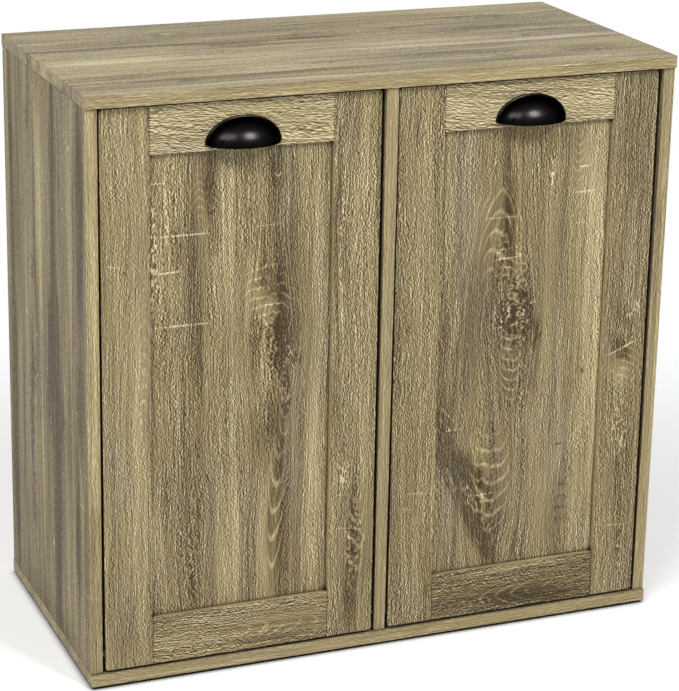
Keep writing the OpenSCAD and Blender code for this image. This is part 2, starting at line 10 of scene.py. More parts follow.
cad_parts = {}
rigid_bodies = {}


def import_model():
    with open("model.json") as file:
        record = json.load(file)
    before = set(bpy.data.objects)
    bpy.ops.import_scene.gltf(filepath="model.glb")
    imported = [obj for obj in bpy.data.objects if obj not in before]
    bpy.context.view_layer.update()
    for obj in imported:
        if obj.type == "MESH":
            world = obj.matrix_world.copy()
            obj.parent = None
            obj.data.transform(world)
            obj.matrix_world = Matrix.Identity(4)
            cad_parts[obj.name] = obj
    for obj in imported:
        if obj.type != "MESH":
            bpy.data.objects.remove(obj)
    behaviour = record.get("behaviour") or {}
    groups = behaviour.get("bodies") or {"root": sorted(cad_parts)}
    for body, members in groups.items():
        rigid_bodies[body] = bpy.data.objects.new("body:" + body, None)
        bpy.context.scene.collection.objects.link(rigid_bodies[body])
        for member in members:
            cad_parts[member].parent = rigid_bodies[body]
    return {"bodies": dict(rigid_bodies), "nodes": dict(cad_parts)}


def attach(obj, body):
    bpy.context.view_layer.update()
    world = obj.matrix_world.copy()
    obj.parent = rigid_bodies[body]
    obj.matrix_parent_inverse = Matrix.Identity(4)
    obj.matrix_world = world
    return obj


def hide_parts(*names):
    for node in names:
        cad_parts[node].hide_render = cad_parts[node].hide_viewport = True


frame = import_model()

MM = 0.001
SIDES = {"left": -1, "right": 1}

# Camera solved from the corners of the case in the photograph, in millimetres and degrees
CAMERA_PLACE = (-891.7, -2174.3, 1079.0)
CAMERA_YAW, CAMERA_PITCH, CAMERA_ROLL = 21.77, 17.50, 0.99
FOCAL_PIXELS = 2389.0
CENTRE_PIXEL = (313.2, 288.5)
PHOTO_W, PHOTO_H = 679, 691

# Places taken from the frame, in millimetres; door pieces are drawn from their own pivot axis
BAY_X = 149.5
PIVOT_Y, PIVOT_Z = -131.02, 32.7
DOOR_LEAN = 0.55
DOOR_W, DOOR_FRONT = 280.6, -7.5
STILE_W = 48
PULL_A, PULL_R, PULL_Z = 36.4, 24.8, 504.1
PULL_WALL, PULL_LIP = 2.0, 0.5
PULL_RIM, PULL_RIM_T, PULL_FILLET = 1.6, 1.8, 0.8
PULL_STEPS, PULL_TURNS = 72, 30
BOSS_X, BOSS_Z, BOSS_R = 25, 4.4, 3.5
ROD_Y, ROD_Z, ROD_R = (23.5, 233.5), 464.78, 4
SLEEVE_HALF = 100
BAG_TOP_HALF, BAG_BASE_HALF = 114, 100
BAG_BASE_REAR = 173.5
BAG_LOW, BAG_HIGH = 27.8, 450.8
BAG_HEIGHT = BAG_HIGH - BAG_LOW
BAG_CORNER = 12
BASE_ROUND = 8
DOOR_EDGE, CASE_EDGE = 0.7, 0.5

# Floor, in metres, and lamps: azimuth, elevation and distance of the two places where they hang
FLOOR_HALF, FLOOR_DROP = 14, 0.0002
RIGHT_LAMP, LEFT_LAMP = (16, 40, 2.6), (-46, 42, 2.6)

# Sewing, in millimetres and steps round the bag
FRONT_STEPS, SIDE_STEPS = 24, 26
CLOTH = 1.1
HEM, HEM_GAP = 14, 1.3
SLEEVE_PLAY = 1.25
SEAM_FLAP, FAR_OFF = 8, 99
WEAVE_STEP, STITCH_STEP = 1.3, 3.6
GATHERS = 19
GATHER_DEPTH, SLACK_DEPTH, HEAP_DEPTH, LUMP_DEPTH = 1.3, 5.5, 4.5, 3


# Scene basics

def clear_default_objects():
    kept = set(frame["nodes"].values()) | set(frame["bodies"].values())
    for obj in list(bpy.data.objects):
        if obj not in kept:
            bpy.data.objects.remove(obj)


def link(obj):
    bpy.context.scene.collection.objects.link(obj)
    return obj


def add_camera():
    yaw, pitch, roll = (math.radians(a) for a in (CAMERA_YAW, CAMERA_PITCH, CAMERA_ROLL))
    ahead = Vector((math.sin(yaw) * math.cos(pitch), math.cos(yaw) * math.cos(pitch), -math.sin(pitch)))
    right = Vector((math.cos(yaw), -math.sin(yaw), 0))
    up = right.cross(ahead)
    rolled_right = right * math.cos(roll) + up * math.sin(roll)
    rolled_up = up * math.cos(roll) - right * math.sin(roll)
    camera = link(bpy.data.objects.new("camera", bpy.data.cameras.new("camera")))
    turn = Matrix((rolled_right, rolled_up, -ahead)).transposed().to_4x4()
    camera.matrix_world = Matrix.Translation(Vector(CAMERA_PLACE) * MM) @ turn
    longest = max(PHOTO_W, PHOTO_H)
    camera.data.sensor_width = 36
    camera.data.lens = FOCAL_PIXELS / longest * 36
    camera.data.shift_x = (PHOTO_W / 2 - CENTRE_PIXEL[0]) / longest
    camera.data.shift_y = (CENTRE_PIXEL[1] - PHOTO_H / 2) / longest
    camera.data.clip_start, camera.data.clip_end = 0.05, 60
    bpy.context.scene.camera = camera


def add_softbox(name, azimuth, elevation, distance, size, power):
    """A soft lamp aimed at the middle of the cabinet; azimuth 0 is straight in front."""
    a, e = math.radians(azimuth), math.radians(elevation)
    away = Vector((math.sin(a) * math.cos(e), -math.cos(a) * math.cos(e), math.sin(e)))
    data = bpy.data.lights.new(name, "AREA")
    data.shape = "RECTANGLE"
    data.size, data.size_y = size
    data.energy = power
    lamp = link(bpy.data.objects.new(name, data))
    lamp.matrix_world = (Matrix.Translation(Vector((0, 0, 0.33)) + away * distance)
                         @ (-away).to_track_quat("-Z", "Y").to_matrix().to_4x4())
    return lamp


# Materials

def linear(colour):
    """The linear colour of an sRGB colour given as 0 to 255."""
    parts = [c / 255 for c in colour]
    return tuple(p / 12.92 if p <= 0.04045 else ((p + 0.055) / 1.055) ** 2.4 for p in parts) + (1,)


class Nodes:
    """The nodes of one tree, written as short formulas."""

    def __init__(self, tree):
        self.tree = tree
        self.tree.nodes.clear()

    def add(self, kind, **settings):
        node = self.tree.nodes.new(kind)
        for key, value in settings.items():
            setattr(node, key, value)
        return node

    def put(self, socket, value):
        if isinstance(value, bpy.types.NodeSocket):
            self.tree.links.new(value, socket)
        else:
            socket.default_value = value

    def fill(self, node, *values):
        """Puts values in a node's first inputs and gives its outputs."""
        for socket, value in zip(node.inputs, values):
            self.put(socket, value)
        return node.outputs

    def feed(self, node, **values):
        """Puts values in a node's named inputs and gives its outputs."""
        for name, value in values.items():
            self.put(node.inputs[name], value)
        return node.outputs

    def math(self, operation, *values):
        return self.fill(self.add("ShaderNodeMath", operation=operation), *values)[0]

    def times(self, first, second):
        return self.math("MULTIPLY", first, second)

    def plus(self, total, value, weight):
        """The total with the weighted value added."""
        return self.math("MULTIPLY_ADD", value, weight, total)

    def vary(self, total, layer, weight):
        """The total, moved up and down by a noise."""
        return self.plus(total, self.math("SUBTRACT", layer, 0.5), weight)

    def seen(self):
        """1 where the camera, a reflection or a clear piece sees it, 0 where it only gives light."""
        paths = self.add("ShaderNodeLightPath").outputs
        seen = self.math("MAXIMUM", paths["Is Camera Ray"], paths["Is Glossy Ray"])
        return self.math("MAXIMUM", seen, paths["Is Transmission Ray"])


class Shader(Nodes):
    """One material with its own Principled shader; place is the object's own, in millimetres."""

    def __init__(self, name):
        self.material = bpy.data.materials.new(name)
        self.material.use_nodes = True
        super().__init__(self.material.node_tree)
        self.output = self.add("ShaderNodeOutputMaterial")
        self.bsdf = self.add("ShaderNodeBsdfPrincipled")
        self.feed(self.output, Surface=self.bsdf.outputs["BSDF"])
        self.coords = self.add("ShaderNodeTexCoord").outputs
        self.place = self.vector("MULTIPLY", self.coords["Object"], (1000, 1000, 1000))

    def set(self, **values):
        """Puts values in the shader's inputs; their names have _ for a space."""
        for name, value in values.items():
            self.put(self.bsdf.inputs[name.replace("_", " ")], value)

    def vector(self, operation, *values):
        outputs = self.fill(self.add("ShaderNodeVectorMath", operation=operation), *values)
        return outputs["Value" if operation in ("LENGTH", "DOT_PRODUCT") else "Vector"]

    def split(self, value):
        return self.fill(self.add("ShaderNodeSeparateXYZ"), value)

    def join(self, x, y, z):
        return self.fill(self.add("ShaderNodeCombineXYZ"), x, y, z)[0]

    def noise(self, place, size, seed=0.0, detail=2.0, rough=0.5):
        """Noise of the given feature size in millimetres, about 0.5."""
        scale = tuple(1 / s for s in size)
        moved = self.vector("MULTIPLY_ADD", place, scale, (seed * 7.3, seed * 3.1, seed * 5.7))
        node = self.add("ShaderNodeTexNoise", noise_dimensions="3D")
        return self.feed(node, Vector=moved, Scale=1, Detail=detail, Roughness=rough)["Fac"]

    def spread(self, value, low, high, kind="SMOOTHSTEP"):
        """Maps low to 0 and high to 1, and holds there."""
        return self.fill(self.add("ShaderNodeMapRange", interpolation_type=kind), value, low, high)[0]

    def ramp(self, value, stops):
        node = self.add("ShaderNodeValToRGB")
        elements = node.color_ramp.elements
        while len(elements) < len(stops):
            elements.new(0.5)
        for element, (place, colour) in zip(elements, stops):
            element.position = place
            element.color = linear(colour)
        return self.feed(node, Fac=value)["Color"]

    def mix(self, amount, first, second):
        """The first colour at an amount of 0 and the second at 1."""
        node = self.add("ShaderNodeMix", data_type="RGBA")
        for socket, value in ((0, amount), (6, first), (7, second)):
            self.put(node.inputs[socket], value)
        return node.outputs[2]

    def bump(self, height, depth, strength):
        node = self.add("ShaderNodeBump")
        self.set(Normal=self.feed(node, Strength=strength, Distance=depth * MM, Height=height)[0])

    def painted_shade_mask(self, reach):
        """Where painted shade goes: 0 deep in a narrow gap or a tight corner and 1 on open surfaces."""
        node = self.add("ShaderNodeAmbientOcclusion", samples=4)
        return self.spread(self.feed(node, Distance=reach * MM)["AO"], 0.4, 0.78)

    def blob(self, place, mark):
        """1 in the middle of a mark's soft ellipse, 0 outside it."""
        across, along, half_across, half_along = mark[1:5]
        if mark.turn:
            cos, sin = math.cos(math.radians(mark.turn)), math.sin(math.radians(mark.turn))
            centred = self.vector("ADD", place, (-across, 0, -along))
            x = self.vector("DOT_PRODUCT", centred, (cos / half_across, 0, -sin / half_across))
            z = self.vector("DOT_PRODUCT", centred, (sin / half_along, 0, cos / half_along))
            scaled = self.join(x, 0, z)
        else:
            scaled = self.vector("MULTIPLY_ADD", place, (1 / half_across, 0, 1 / half_along),
                                 (-across / half_across, 0, -along / half_along))
        return self.spread(self.vector("LENGTH", scaled), 1, 1 - SOFTNESS[mark.kind])


# Marks of the wood print. A mark has a place across and along the grain and half its size each way, in
# millimetres, and how much lighter or darker it is. A band is plain, and so are the harder knot, shade and
# joint. Rough and flecks are broken into patches and specks, a grey takes warmth away, a bow only bends the
# grain round its place, and a flame is nested arches, which a positive rise points up the grain.
Mark = namedtuple("Mark", "kind across along half_across half_along amount turn step rise",
                  defaults=(0, 0, 0))

# The share of each kind's half size over which it fades
SOFTNESS = {"band": 0.95, "grey": 0.95, "bow": 1.0, "knot": 0.8, "flame": 0.7, "rough": 0.7,
            "flecks": 0.6, "shade": 0.6, "joint": 0.5, "scratch": 0.5}


def line(across, along, end_across, end_along, amount=0.36, width=0.9):
    """A scratch from one place to another."""
    wide, high = end_across - across, end_along - along
    half, turn = math.hypot(wide, high) / 2, math.degrees(math.atan2(wide, high))
    return Mark("scratch", across + wide / 2, along + high / 2, width, half, amount, turn)


def marks(scratch=(), stroke=(), **others):
    """A board's marks; a stroke is an amount and the places that a fine line goes through."""
    found = [Mark(kind, *values) for kind, rows in others.items() for values in rows]
    found += [line(*values) for values in scratch]
    for amount, *places in stroke:
        found += [line(*start, *end, amount) for start, end in zip(places, places[1:])]
    return found


def joints(side):
    """The fine dark lines where a rail meets its stiles."""
    ends = (side * BAY_X + half for half in (STILE_W - DOOR_W / 2, DOOR_W / 2 - STILE_W))
    return [Mark("joint", 0, x, 2000, 1.3, -1.4) for x in ends]


# From a hair to its shadow and the reach of the painted shade in gaps, in millimetres, the grain's stretch
# on narrow faces, the contrast of growth lines and how dark the marks get together
THREAD_STEP, PAINTED_SHADE_REACH = 1.15, 6
EDGE_STRETCH = 0.4
GROWTH = 0.2
DEEPEST = -0.36
# The dark brown of the painted shade in gaps and corners, and of the painted shadow on the floor
PAINTED_SHADE = (24, 16, 8)
WOOD = [(0.0, (62, 49, 27)), (0.22, (108, 93, 63)), (0.46, (145, 129, 93)), (0.7, (173, 158, 116)),
        (0.88, (204, 190, 146)), (1.0, (226, 215, 176))]
GREY_WOOD = [(0.0, (68, 56, 39)), (0.22, (109, 94, 71)), (0.46, (140, 127, 103)), (0.7, (167, 154, 127)),
             (0.88, (196, 184, 156)), (1.0, (219, 208, 180))]

# A look: the level, the contrast of threads, streaks and broad swells, and the share of grey
FRONT = (0.38, 1.2, 0.3, 0.5, 0.1)
RAIL_TOP = (0.60, 1.25, 0.25, 0.4, 0.0)
# The case top is set lighter than the case sides: partly the boards' own tone, partly painted light on the
# top and painted shade on the sides
CASE_TOP = (0.55, 1.2, 0.8, 0.6, 0.5)
CASE_SIDE = (0.41, 1.1, 0.8, 0.7, 0.4)
EDGE_BAND = (0.58, 0.5, 0.4, 0.3, 0.0)


def thread_sum(s, place, seed, reach):
    """Short hairs, fibres and long lines, one thread wide."""
    total = s.noise(place, (0.9, 0.9, reach), seed + 6, detail=0)
    for order, length, weight in ((5, 12, 0.45), (9, 60, 0.35)):
        total = s.plus(total, s.noise(place, (0.9, 0.9, length), seed + order, detail=0), weight)
    return total


def arches(s, mark, bent, along, bends):
    """The crests of a flame's arches, which some noises bend."""
    offset = s.math("SUBTRACT", bent, mark.across)
    height = s.plus(along, s.times(offset, offset), mark.rise)
    for layer, strength in bends:
        height = s.vary(height, layer, strength)
    return s.spread(s.math("SINE", s.times(height, 2 * math.pi / mark.step)), 0.5, 1)


def wood(name, axes, seed, face, own_marks=(), slant=0.0, reach=2.4):
    """Oak print. axes names the object's axes across, through and along the grain; the narrow faces that
    lie across the grain's width have the look EDGE_BAND.
    """
    s = Shader(name)
    parts = dict(zip("xyz", s.split(s.place)))
    across, through, along = (parts[a] for a in axes)
    facing = s.split(s.coords["Normal"])["xyz".index(axes[0])]
    on_edge = s.math("GREATER_THAN", s.math("ABSOLUTE", facing), 0.7)
    tone, crisp, streaky, swelling, greyed = (s.plus(f, on_edge, e - f) for f, e in zip(face, EDGE_BAND))

    plain = s.join(across, through, along)
    sway = s.noise(plain, (60, 60, 200), seed + 1)
    wave = s.noise(plain, (9, 9, 60), seed + 2, detail=1)
    loose = s.join(s.vary(s.vary(across, sway, 10), wave, 8), 0, along)
    flat = s.join(s.vary(across, wave, 1.2), 0, along)
    bent = s.plus(s.vary(s.vary(across, sway, 22), wave, 1.6), along, slant)
    for mark in own_marks:
        if mark.kind == "bow":
            offset = s.math("SUBTRACT", across, mark.across)
            bent = s.plus(bent, s.times(offset, s.blob(plain, mark)), -mark.amount)
    lift = s.plus(1, on_edge, EDGE_STRETCH - 1)
    grain = s.join(bent, s.plus(through, across, 0.11), s.times(along, lift))
    sideways = s.join(s.math("SUBTRACT", 1, on_edge), on_edge, 0)
    beside = s.vector("MULTIPLY_ADD", sideways, (THREAD_STEP,) * 3, grain)

    broad = s.noise(plain, (24, 24, 500), seed + 3)
    streak = s.noise(grain, (5, 5, 220), seed + 4, rough=0.6)
    growth = s.spread(s.noise(grain, (1.9, 1.9, 160), seed + 10, detail=0), 0.25, 0.75, "LINEAR")
    patch = s.noise(plain, (24, 24, 120), seed + 7)
    fibre = s.noise(grain, (0.9, 0.9, 12), seed + 5, detail=0)
    speck = s.noise(grain, (1.6, 1.6, 4), seed + 6, detail=0)
    threads = s.math("SUBTRACT", thread_sum(s, grain, seed, reach), thread_sum(s, beside, seed, reach))
    threads = s.times(threads, s.times(crisp, s.plus(0.4, patch, 1.2)))
    total = s.math("ADD", threads, tone)
    for layer, weight in ((streak, streaky), (growth, GROWTH), (broad, swelling)):
        total = s.vary(total, layer, weight)

    shares = {"scratch": s.spread(fibre, 0.25, 0.55), "flecks": s.spread(speck, 0.52, 0.66),
              "rough": s.spread(s.noise(grain, (2.4, 2.4, 7), seed + 8), 0.42, 0.6),
              "flame": s.spread(s.noise(plain, (14, 14, 30), seed + 11, detail=1), 0.25, 0.5)}
    dull = s.vary(s.vary(greyed, patch, 1.4), broad, -2.2)
    marked = calm = 0.0
    for mark in own_marks:
        if mark.kind == "bow":
            continue
        inside = s.blob(flat if mark.kind == "scratch" else loose, mark)
        if mark.kind == "flame":
            calm = s.math("MAXIMUM", calm, inside)
            inside = s.times(inside, arches(s, mark, bent, along, ((wave, 6), (patch, 16))))
        if mark.kind in shares:
            inside = s.times(inside, shares[mark.kind])
        if mark.kind == "grey":
            dull = s.plus(dull, inside, mark.amount)
        else:
            marked = s.plus(marked, inside, mark.amount)
    total = s.math("ADD", total, s.math("MAXIMUM", marked, DEEPEST))
    total = s.plus(total, threads, s.times(calm, -0.6))

    colour = s.mix(dull, s.ramp(total, WOOD), s.ramp(total, GREY_WOOD))
    # Painted shade: the print goes dark brown in narrow gaps and tight corners, where ambient occlusion
    # finds them
    s.set(Base_Color=s.mix(s.painted_shade_mask(PAINTED_SHADE_REACH), linear(PAINTED_SHADE), colour), Roughness=s.plus(0.66, fibre, -0.12))
    s.set(Specular_IOR_Level=0.3)
    s.bump(s.plus(fibre, streak, 0.5), 0.2, 0.25)
    return s.material


TOP_MARKS = marks(band=[
    (57, -260, 5, 190, -0.8), (52, -130, 5, 60, -0.4), (50, -10, 5, 60, -0.44), (46, 190, 22, 120, -0.32),
    (105, -20, 34, 280, -0.12), (-6, -230, 20, 130, 0.38), (-14, -90, 22, 90, 0.15), (4, 90, 16, 120, 0.22),
    (-20, 230, 12, 90, 0.25), (-62, 60, 24, 160, -0.2), (-96, -200, 4.5, 270, -0.84),
    (-105, 150, 5, 110, -0.4), (-128, -60, 14, 240, 0.15), (-3, 206, 5, 8, -0.4), (98, -20, 26, 400, -0.14),
    (78, -200, 18, 170, -0.14), (84, 190, 20, 170, -0.12), (30, -60, 13, 180, -0.24),
    (52, -20, 12, 340, -0.1), (2, 170, 14, 190, 0.14), (-18, 120, 16, 240, 0.24),
    (-72, -240, 14, 140, -0.34), (-72, 240, 14, 120, -0.26), (-96, 60, 10, 300, -0.14),
    (-120, 60, 14, 260, -0.17), (45, -70, 2.6, 130, -0.5), (38, 90, 2.6, 130, -0.5),
    (20, 240, 3, 70, -0.4, 4), (61, -30, 2.6, 80, -0.4), (68, 95, 3, 50, -0.5), (62, 220, 2.6, 90, -0.4),
    (104, 190, 5, 80, -0.3), (-58, 100, 2.6, 110, -0.4), (-68, 135, 3, 50, -0.5), (-82, -275, 3, 60, -0.5),
    (-104, -120, 2.4, 130, -0.4), (-110, 130, 2.6, 150, -0.4),
], grey=[
    (-62, 60, 30, 200, 0.5), (-6, -150, 24, 200, -0.5), (50, 190, 30, 120, 0.4),
], rough=[
    (44, -90, 9, 22, -0.72), (68, 0, 6, 40, -0.54), (68, 90, 5, 20, -0.72), (36, 130, 6, 34, -0.72),
    (106, -145, 16, 26, -0.72), (95, 205, 14, 40, -0.45), (-72, 140, 8, 34, -0.63),
    (-66, -40, 8, 30, -0.36), (-88, 140, 6, 14, -0.54), (-106, -195, 10, 16, -0.72),
    (-80, 240, 22, 40, -0.36), (40, -95, 16, 44, -0.5), (34, 135, 12, 50, -0.4), (100, 200, 18, 50, -0.4),
], flecks=[
    (105, -145, 14, 14, 0.5), (-93, -270, 3, 30, 0.9), (38, 228, 12, 14, 0.5),
], scratch=[
    (50, 208, 10, 209, 0.4), (16, -128, -4, -127, 0.4),
])
SIDE_MARKS = marks(band=[
    (-25, 500, 11, 190, -0.8), (-26, 330, 22, 130, -0.66), (-29, 140, 16, 170, -0.7),
    (-4, 300, 10, 110, -0.4), (-118, 470, 20, 190, -0.5), (-116, 280, 14, 90, -0.5),
    (-100, 140, 8, 60, -0.6), (-80, 440, 14, 200, 0.34), (-74, 120, 10, 120, 0.12),
    (24, 430, 20, 200, 0.42), (26, 180, 20, 130, 0.15), (76, 300, 30, 300, 0.03),
    (134, 180, 14, 220, -0.68), (130, 460, 14, 150, -0.28), (-84, 531, 1.8, 3.5, 1.5), (28, 488, 2, 4, 1.5),
    (-60, 466, 1.6, 3, 0.88), (80, 321, 1.8, 3, 1.12), (42, 308, 1.8, 3.5, 1.5), (3, 285, 1.6, 3, 1),
    (42, 264, 1.6, 3, 1.12), (-12, 103, 1.8, 3.5, 1.5), (-62, 74, 1.8, 3.5, 1.25),
    (132, 300, 14, 340, -0.34), (108, 420, 16, 170, -0.17), (-104, 130, 14, 150, -0.36),
    (-132, 130, 14, 170, -0.22), (-44, 220, 14, 250, -0.2), (-76, 430, 14, 130, -0.17),
    (-16, 450, 12, 130, -0.16), (-20, 60, 14, 110, -0.24), (46, 220, 18, 130, 0.17),
    (-10, 6, 260, 56, -0.18),
# Painted shadow: dark lines where the side meets the bottom and the top panel
], shade=[
    (0, 14, 400, 2.2, -1.6), (0, 581, 400, 1.4, -0.8),
], grey=[
    (76, 300, 30, 300, 0.7), (-118, 400, 18, 200, 0.8), (24, 430, 20, 200, -0.9), (-78, 400, 14, 260, -0.9),
    (134, 200, 14, 240, -0.6),
], rough=[
    (-24, 320, 14, 40, -0.72), (-36, 245, 26, 28, -0.72), (-28, 60, 12, 60, -0.63),
    (-98, 145, 8, 12, -0.72), (55, 375, 12, 24, -0.36), (52, 265, 14, 34, -0.45), (66, 200, 10, 60, -0.36),
    (60, 110, 14, 30, -0.27), (66, 530, 10, 24, -0.36), (-30, 250, 40, 60, -0.5), (-20, 340, 24, 60, -0.4),
    (62, 250, 18, 110, -0.35), (64, 130, 16, 50, -0.35),
], scratch=[
    (-122, 273, -88, 273, 0.5), (-46, 261, -24, 261, 0.4), (-138, 183, -90, 184, 0.5),
    (-142, 95, -116, 96, 0.4), (-140, 218, -118, 219, 0.4),
])
LEFT_PANEL_MARKS = marks(bow=[
    (-116, 350, 50, 120, 0.7), (-108, 160, 26, 140, 0.5), (-198, 150, 34, 110, 0.5),
], band=[
    (-180, 505, 9, 60, -0.34), (-200, 415, 16, 100, -0.16), (-194, 330, 12, 90, -0.22),
    (-200, 160, 26, 150, -0.2), (-162, 440, 22, 130, 0.16), (-158, 230, 14, 130, 0.14),
    (-156, 120, 13, 110, 0.26), (-218, 460, 12, 110, 0.12), (-232, 140, 7, 100, 0.14),
    (-118, 500, 12, 60, -0.28), (-118, 420, 26, 70, -0.24), (-108, 340, 26, 60, -0.34),
    (-122, 240, 26, 60, -0.2), (-108, 150, 13, 150, -0.34), (-94, 420, 12, 130, -0.12),
    (-70, 400, 12, 220, 0.24), (-72, 200, 16, 140, 0.24), (-76, 100, 14, 70, 0.16),
    (-129, 120, 10, 90, 0.12), (-240, 430, 4, 120, -0.3), (-138, 300, 12, 50, 0.1), (-103, 262, 4, 7, -0.6),
    (-110, 325, 12, 28, -0.4), (-195, 240, 1.5, 10, -0.3, 20), (-58, 480, 8, 80, 0.2),
    (-58, 200, 8, 260, 0.12), (-79, 350, 6, 200, -0.1), (-118, 275, 9, 60, -0.24), (-118, 150, 7, 70, -0.2),
    (-138, 330, 10, 60, -0.24), (-216, 440, 10, 44, -0.2), (-177, 445, 10, 40, -0.18),
    (-236, 450, 8, 90, -0.14), (-236, 140, 9, 110, 0.18), (-190, 150, 50, 120, 0.1),
], grey=[
    (-110, 470, 20, 90, 0.2), (-92, 240, 24, 130, 0.5), (-240, 300, 10, 200, 0.6),
    (-200, 160, 24, 100, 0.4),
], rough=[
    (-113, 332, 15, 32, -1.1), (-92, 315, 7, 9, -1.2), (-104, 280, 8, 36, -0.8), (-118, 395, 24, 26, -0.4),
    (-180, 490, 8, 34, -0.3), (-128, 345, 9, 12, -0.3),
], flecks=[
    (-106, 320, 17, 26, 0.5), (-104, 275, 8, 30, 0.3), (-236, 440, 6, 80, 0.7),
], flame=[
    (-122, 386, 38, 46, 0.3, -14, 10, 0.02), (-112, 150, 17, 120, 0.4, 0, 30, -0.5),
    (-108, 262, 14, 60, 0.3, 0, 18, -0.3), (-192, 488, 16, 36, 0.24, 0, 8, 0.06),
], scratch=[
    (-242, 450, -172, 450, 0.6, 1.2), (-238, 414, -205, 415, 0.6, 1.2), (-242, 361, -172, 361, 0.6, 1.2),
    (-243, 502, -222, 502, 0.5), (-130, 373, -104, 373, 0.5), (-140, 452, -101, 453, 0.3),
], stroke=[
    (-0.6, (-196, 240), (-190, 222)), (-0.3, (-190, 222), (-172, 176), (-158, 110)),
    (-0.22, (-204, 300), (-186, 220), (-176, 150)), (-0.22, (-216, 190), (-200, 100), (-196, 70)),
    (0.25, (-232, 250), (-238, 190), (-236, 120), (-228, 70)), (0.2, (-150, 440), (-134, 400), (-124, 384)),
    (0.6, (-117, 505), (-112, 499), (-108, 504)), (0.5, (-128, 408), (-120, 416), (-112, 402), (-103, 405)),
])
RIGHT_PANEL_MARKS = marks(bow=[
    (140, 350, 60, 150, 0.75), (118, 150, 44, 110, 0.6), (212, 140, 34, 100, 0.5, 14),
], band=[
    (127, 500, 9, 60, -0.26), (134, 440, 16, 60, -0.26), (138, 400, 18, 50, -0.2),
    (146, 340, 24, 60, -0.34), (112, 340, 30, 90, -0.12), (160, 325, 14, 40, -0.2),
    (150, 265, 36, 50, -0.08), (66, 300, 12, 90, -0.16), (70, 235, 18, 50, -0.22),
    (80, 180, 20, 56, -0.45, -22), (108, 110, 15, 64, -0.45, -24), (128, 100, 18, 70, -0.2),
    (74, 110, 12, 60, 0.1), (84, 460, 30, 110, 0.2), (178, 470, 22, 90, 0.08), (224, 430, 22, 150, 0.24),
    (226, 240, 20, 200, 0.22), (190, 300, 18, 120, 0.04), (176, 150, 30, 120, 0.08),
    (199, 190, 7, 2.5, -0.4), (223, 267, 4, 5, -0.5), (239, 300, 9, 600, 0.34), (219, 400, 8, 110, -0.16),
    (214, 140, 14, 140, 0.15), (199, 300, 10, 320, 0.12), (199, 160, 14, 110, 0.12),
    (84, 450, 9, 90, -0.15), (104, 166, 15, 46, -0.4, -24), (121, 385, 8, 44, -0.14),
    (122, 146, 12, 34, -0.16), (160, 225, 12, 60, 0.15), (83, 190, 2.2, 34, -0.5, -22),
    (98, 160, 2.2, 40, -0.6, -26), (110, 150, 2, 34, 0.5, -26), (76, 160, 2.2, 30, -0.5, -24),
], grey=[
    (84, 460, 30, 120, 0.3), (80, 170, 26, 60, 0.9, -22), (180, 180, 40, 120, 0.5), (112, 330, 30, 60, 0.6),
    (226, 350, 24, 240, -0.8), (135, 450, 16, 90, -0.8),
], rough=[
    (144, 335, 24, 30, -0.35), (168, 312, 8, 22, -0.5), (136, 415, 14, 60, -0.2), (66, 222, 14, 34, -0.35),
    (150, 352, 11, 9, -0.5), (74, 196, 16, 34, -0.4), (108, 118, 14, 54, -0.35, -24),
    (176, 490, 4, 40, -0.3), (205, 140, 22, 70, -0.14, 16),
], flecks=[
    (146, 335, 28, 36, 0.35), (128, 400, 14, 60, 0.15), (86, 170, 22, 56, 0.3, -22),
    (112, 120, 14, 54, 0.3, -24), (178, 480, 3, 30, 0.8),
], flame=[
    (124, 424, 40, 80, 0.3, 0, 20, 0.12), (134, 392, 26, 36, 0.26, 0, 8, 0.03),
    (139, 282, 22, 56, 0.4, 0, 11, -0.24), (121, 152, 36, 90, 0.36, 0, 17, -0.07),
    (208, 492, 18, 36, 0.24, 0, 9, -0.1), (208, 130, 24, 70, -0.12, 16, 13, 0.1),
], scratch=[
    (103, 438, 148, 438, 0.5, 1.2), (118, 395, 150, 396, 0.6, 1.2), (118, 405, 146, 406, 0.4),
    (122, 386, 140, 386, 0.4), (202, 457, 230, 458, 0.7, 1.3), (205, 483, 222, 484, 0.7, 1.3),
    (206, 425, 216, 426, 0.5), (118, 323, 146, 325, 0.4), (155, 345, 170, 348, 0.5),
    (60, 219, 92, 220, 0.6, 1.2), (98, 145, 130, 146, 0.5, 1.2), (104, 137, 130, 138, 0.4),
    (64, 210, 92, 146, -0.4, 3), (82, 206, 108, 140, -0.5, 3), (96, 176, 118, 116, -0.5, 2.5),
    (58, 236, 76, 206, -0.4, 3), (90, 190, 104, 150, 0.5, 1.4), (104, 140, 122, 84, -0.4, 3),
    (70, 190, 88, 142, 0.4, 1.2), (60, 250, 84, 224, 0.4, 1.2), (58, 240, 80, 214, 0.3, 1.2),
    (156, 350, 172, 302, -0.5, 4), (151, 352, 139, 324, -0.5, 4), (124, 329, 142, 322, -0.4, 3),
    (164, 340, 152, 316, 0.25, 3), (128, 352, 134, 330, -0.3, 3),
], stroke=[
    (0.28, (117, 464), (106, 432), (99, 396), (94, 350)), (0.25, (111, 470), (99, 434), (91, 390)),
    (0.25, (91, 390), (86, 330), (84, 270)), (0.25, (122, 440), (112, 410), (106, 370)),
    (0.2, (104, 470), (92, 430), (83, 370), (79, 300)), (0.28, (94, 255), (103, 215), (113, 190)),
    (0.28, (86, 262), (96, 215), (106, 180)), (0.3, (125, 476), (134, 462), (142, 452)),
])
LEFT_OUTER_MARKS = marks(
    bow=[(-267, 420, 9, 14.4, 0.6)],
    knot=[(-267, 420, 2, 3.2, -0.42)],
    band=[(-255, 330, 10, 300, 0.14), (-281, 330, 6, 260, -0.06), (-262, 50, 24, 60, -0.12)],
    flecks=[(-249, 321, 6, 110, 0.2)],
    flame=[(-246, 330, 12, 110, 0.12, 0, 16, 0.3)],
    scratch=[(-286, 437, -281, 438), (-288, 429, -268, 425)],
)
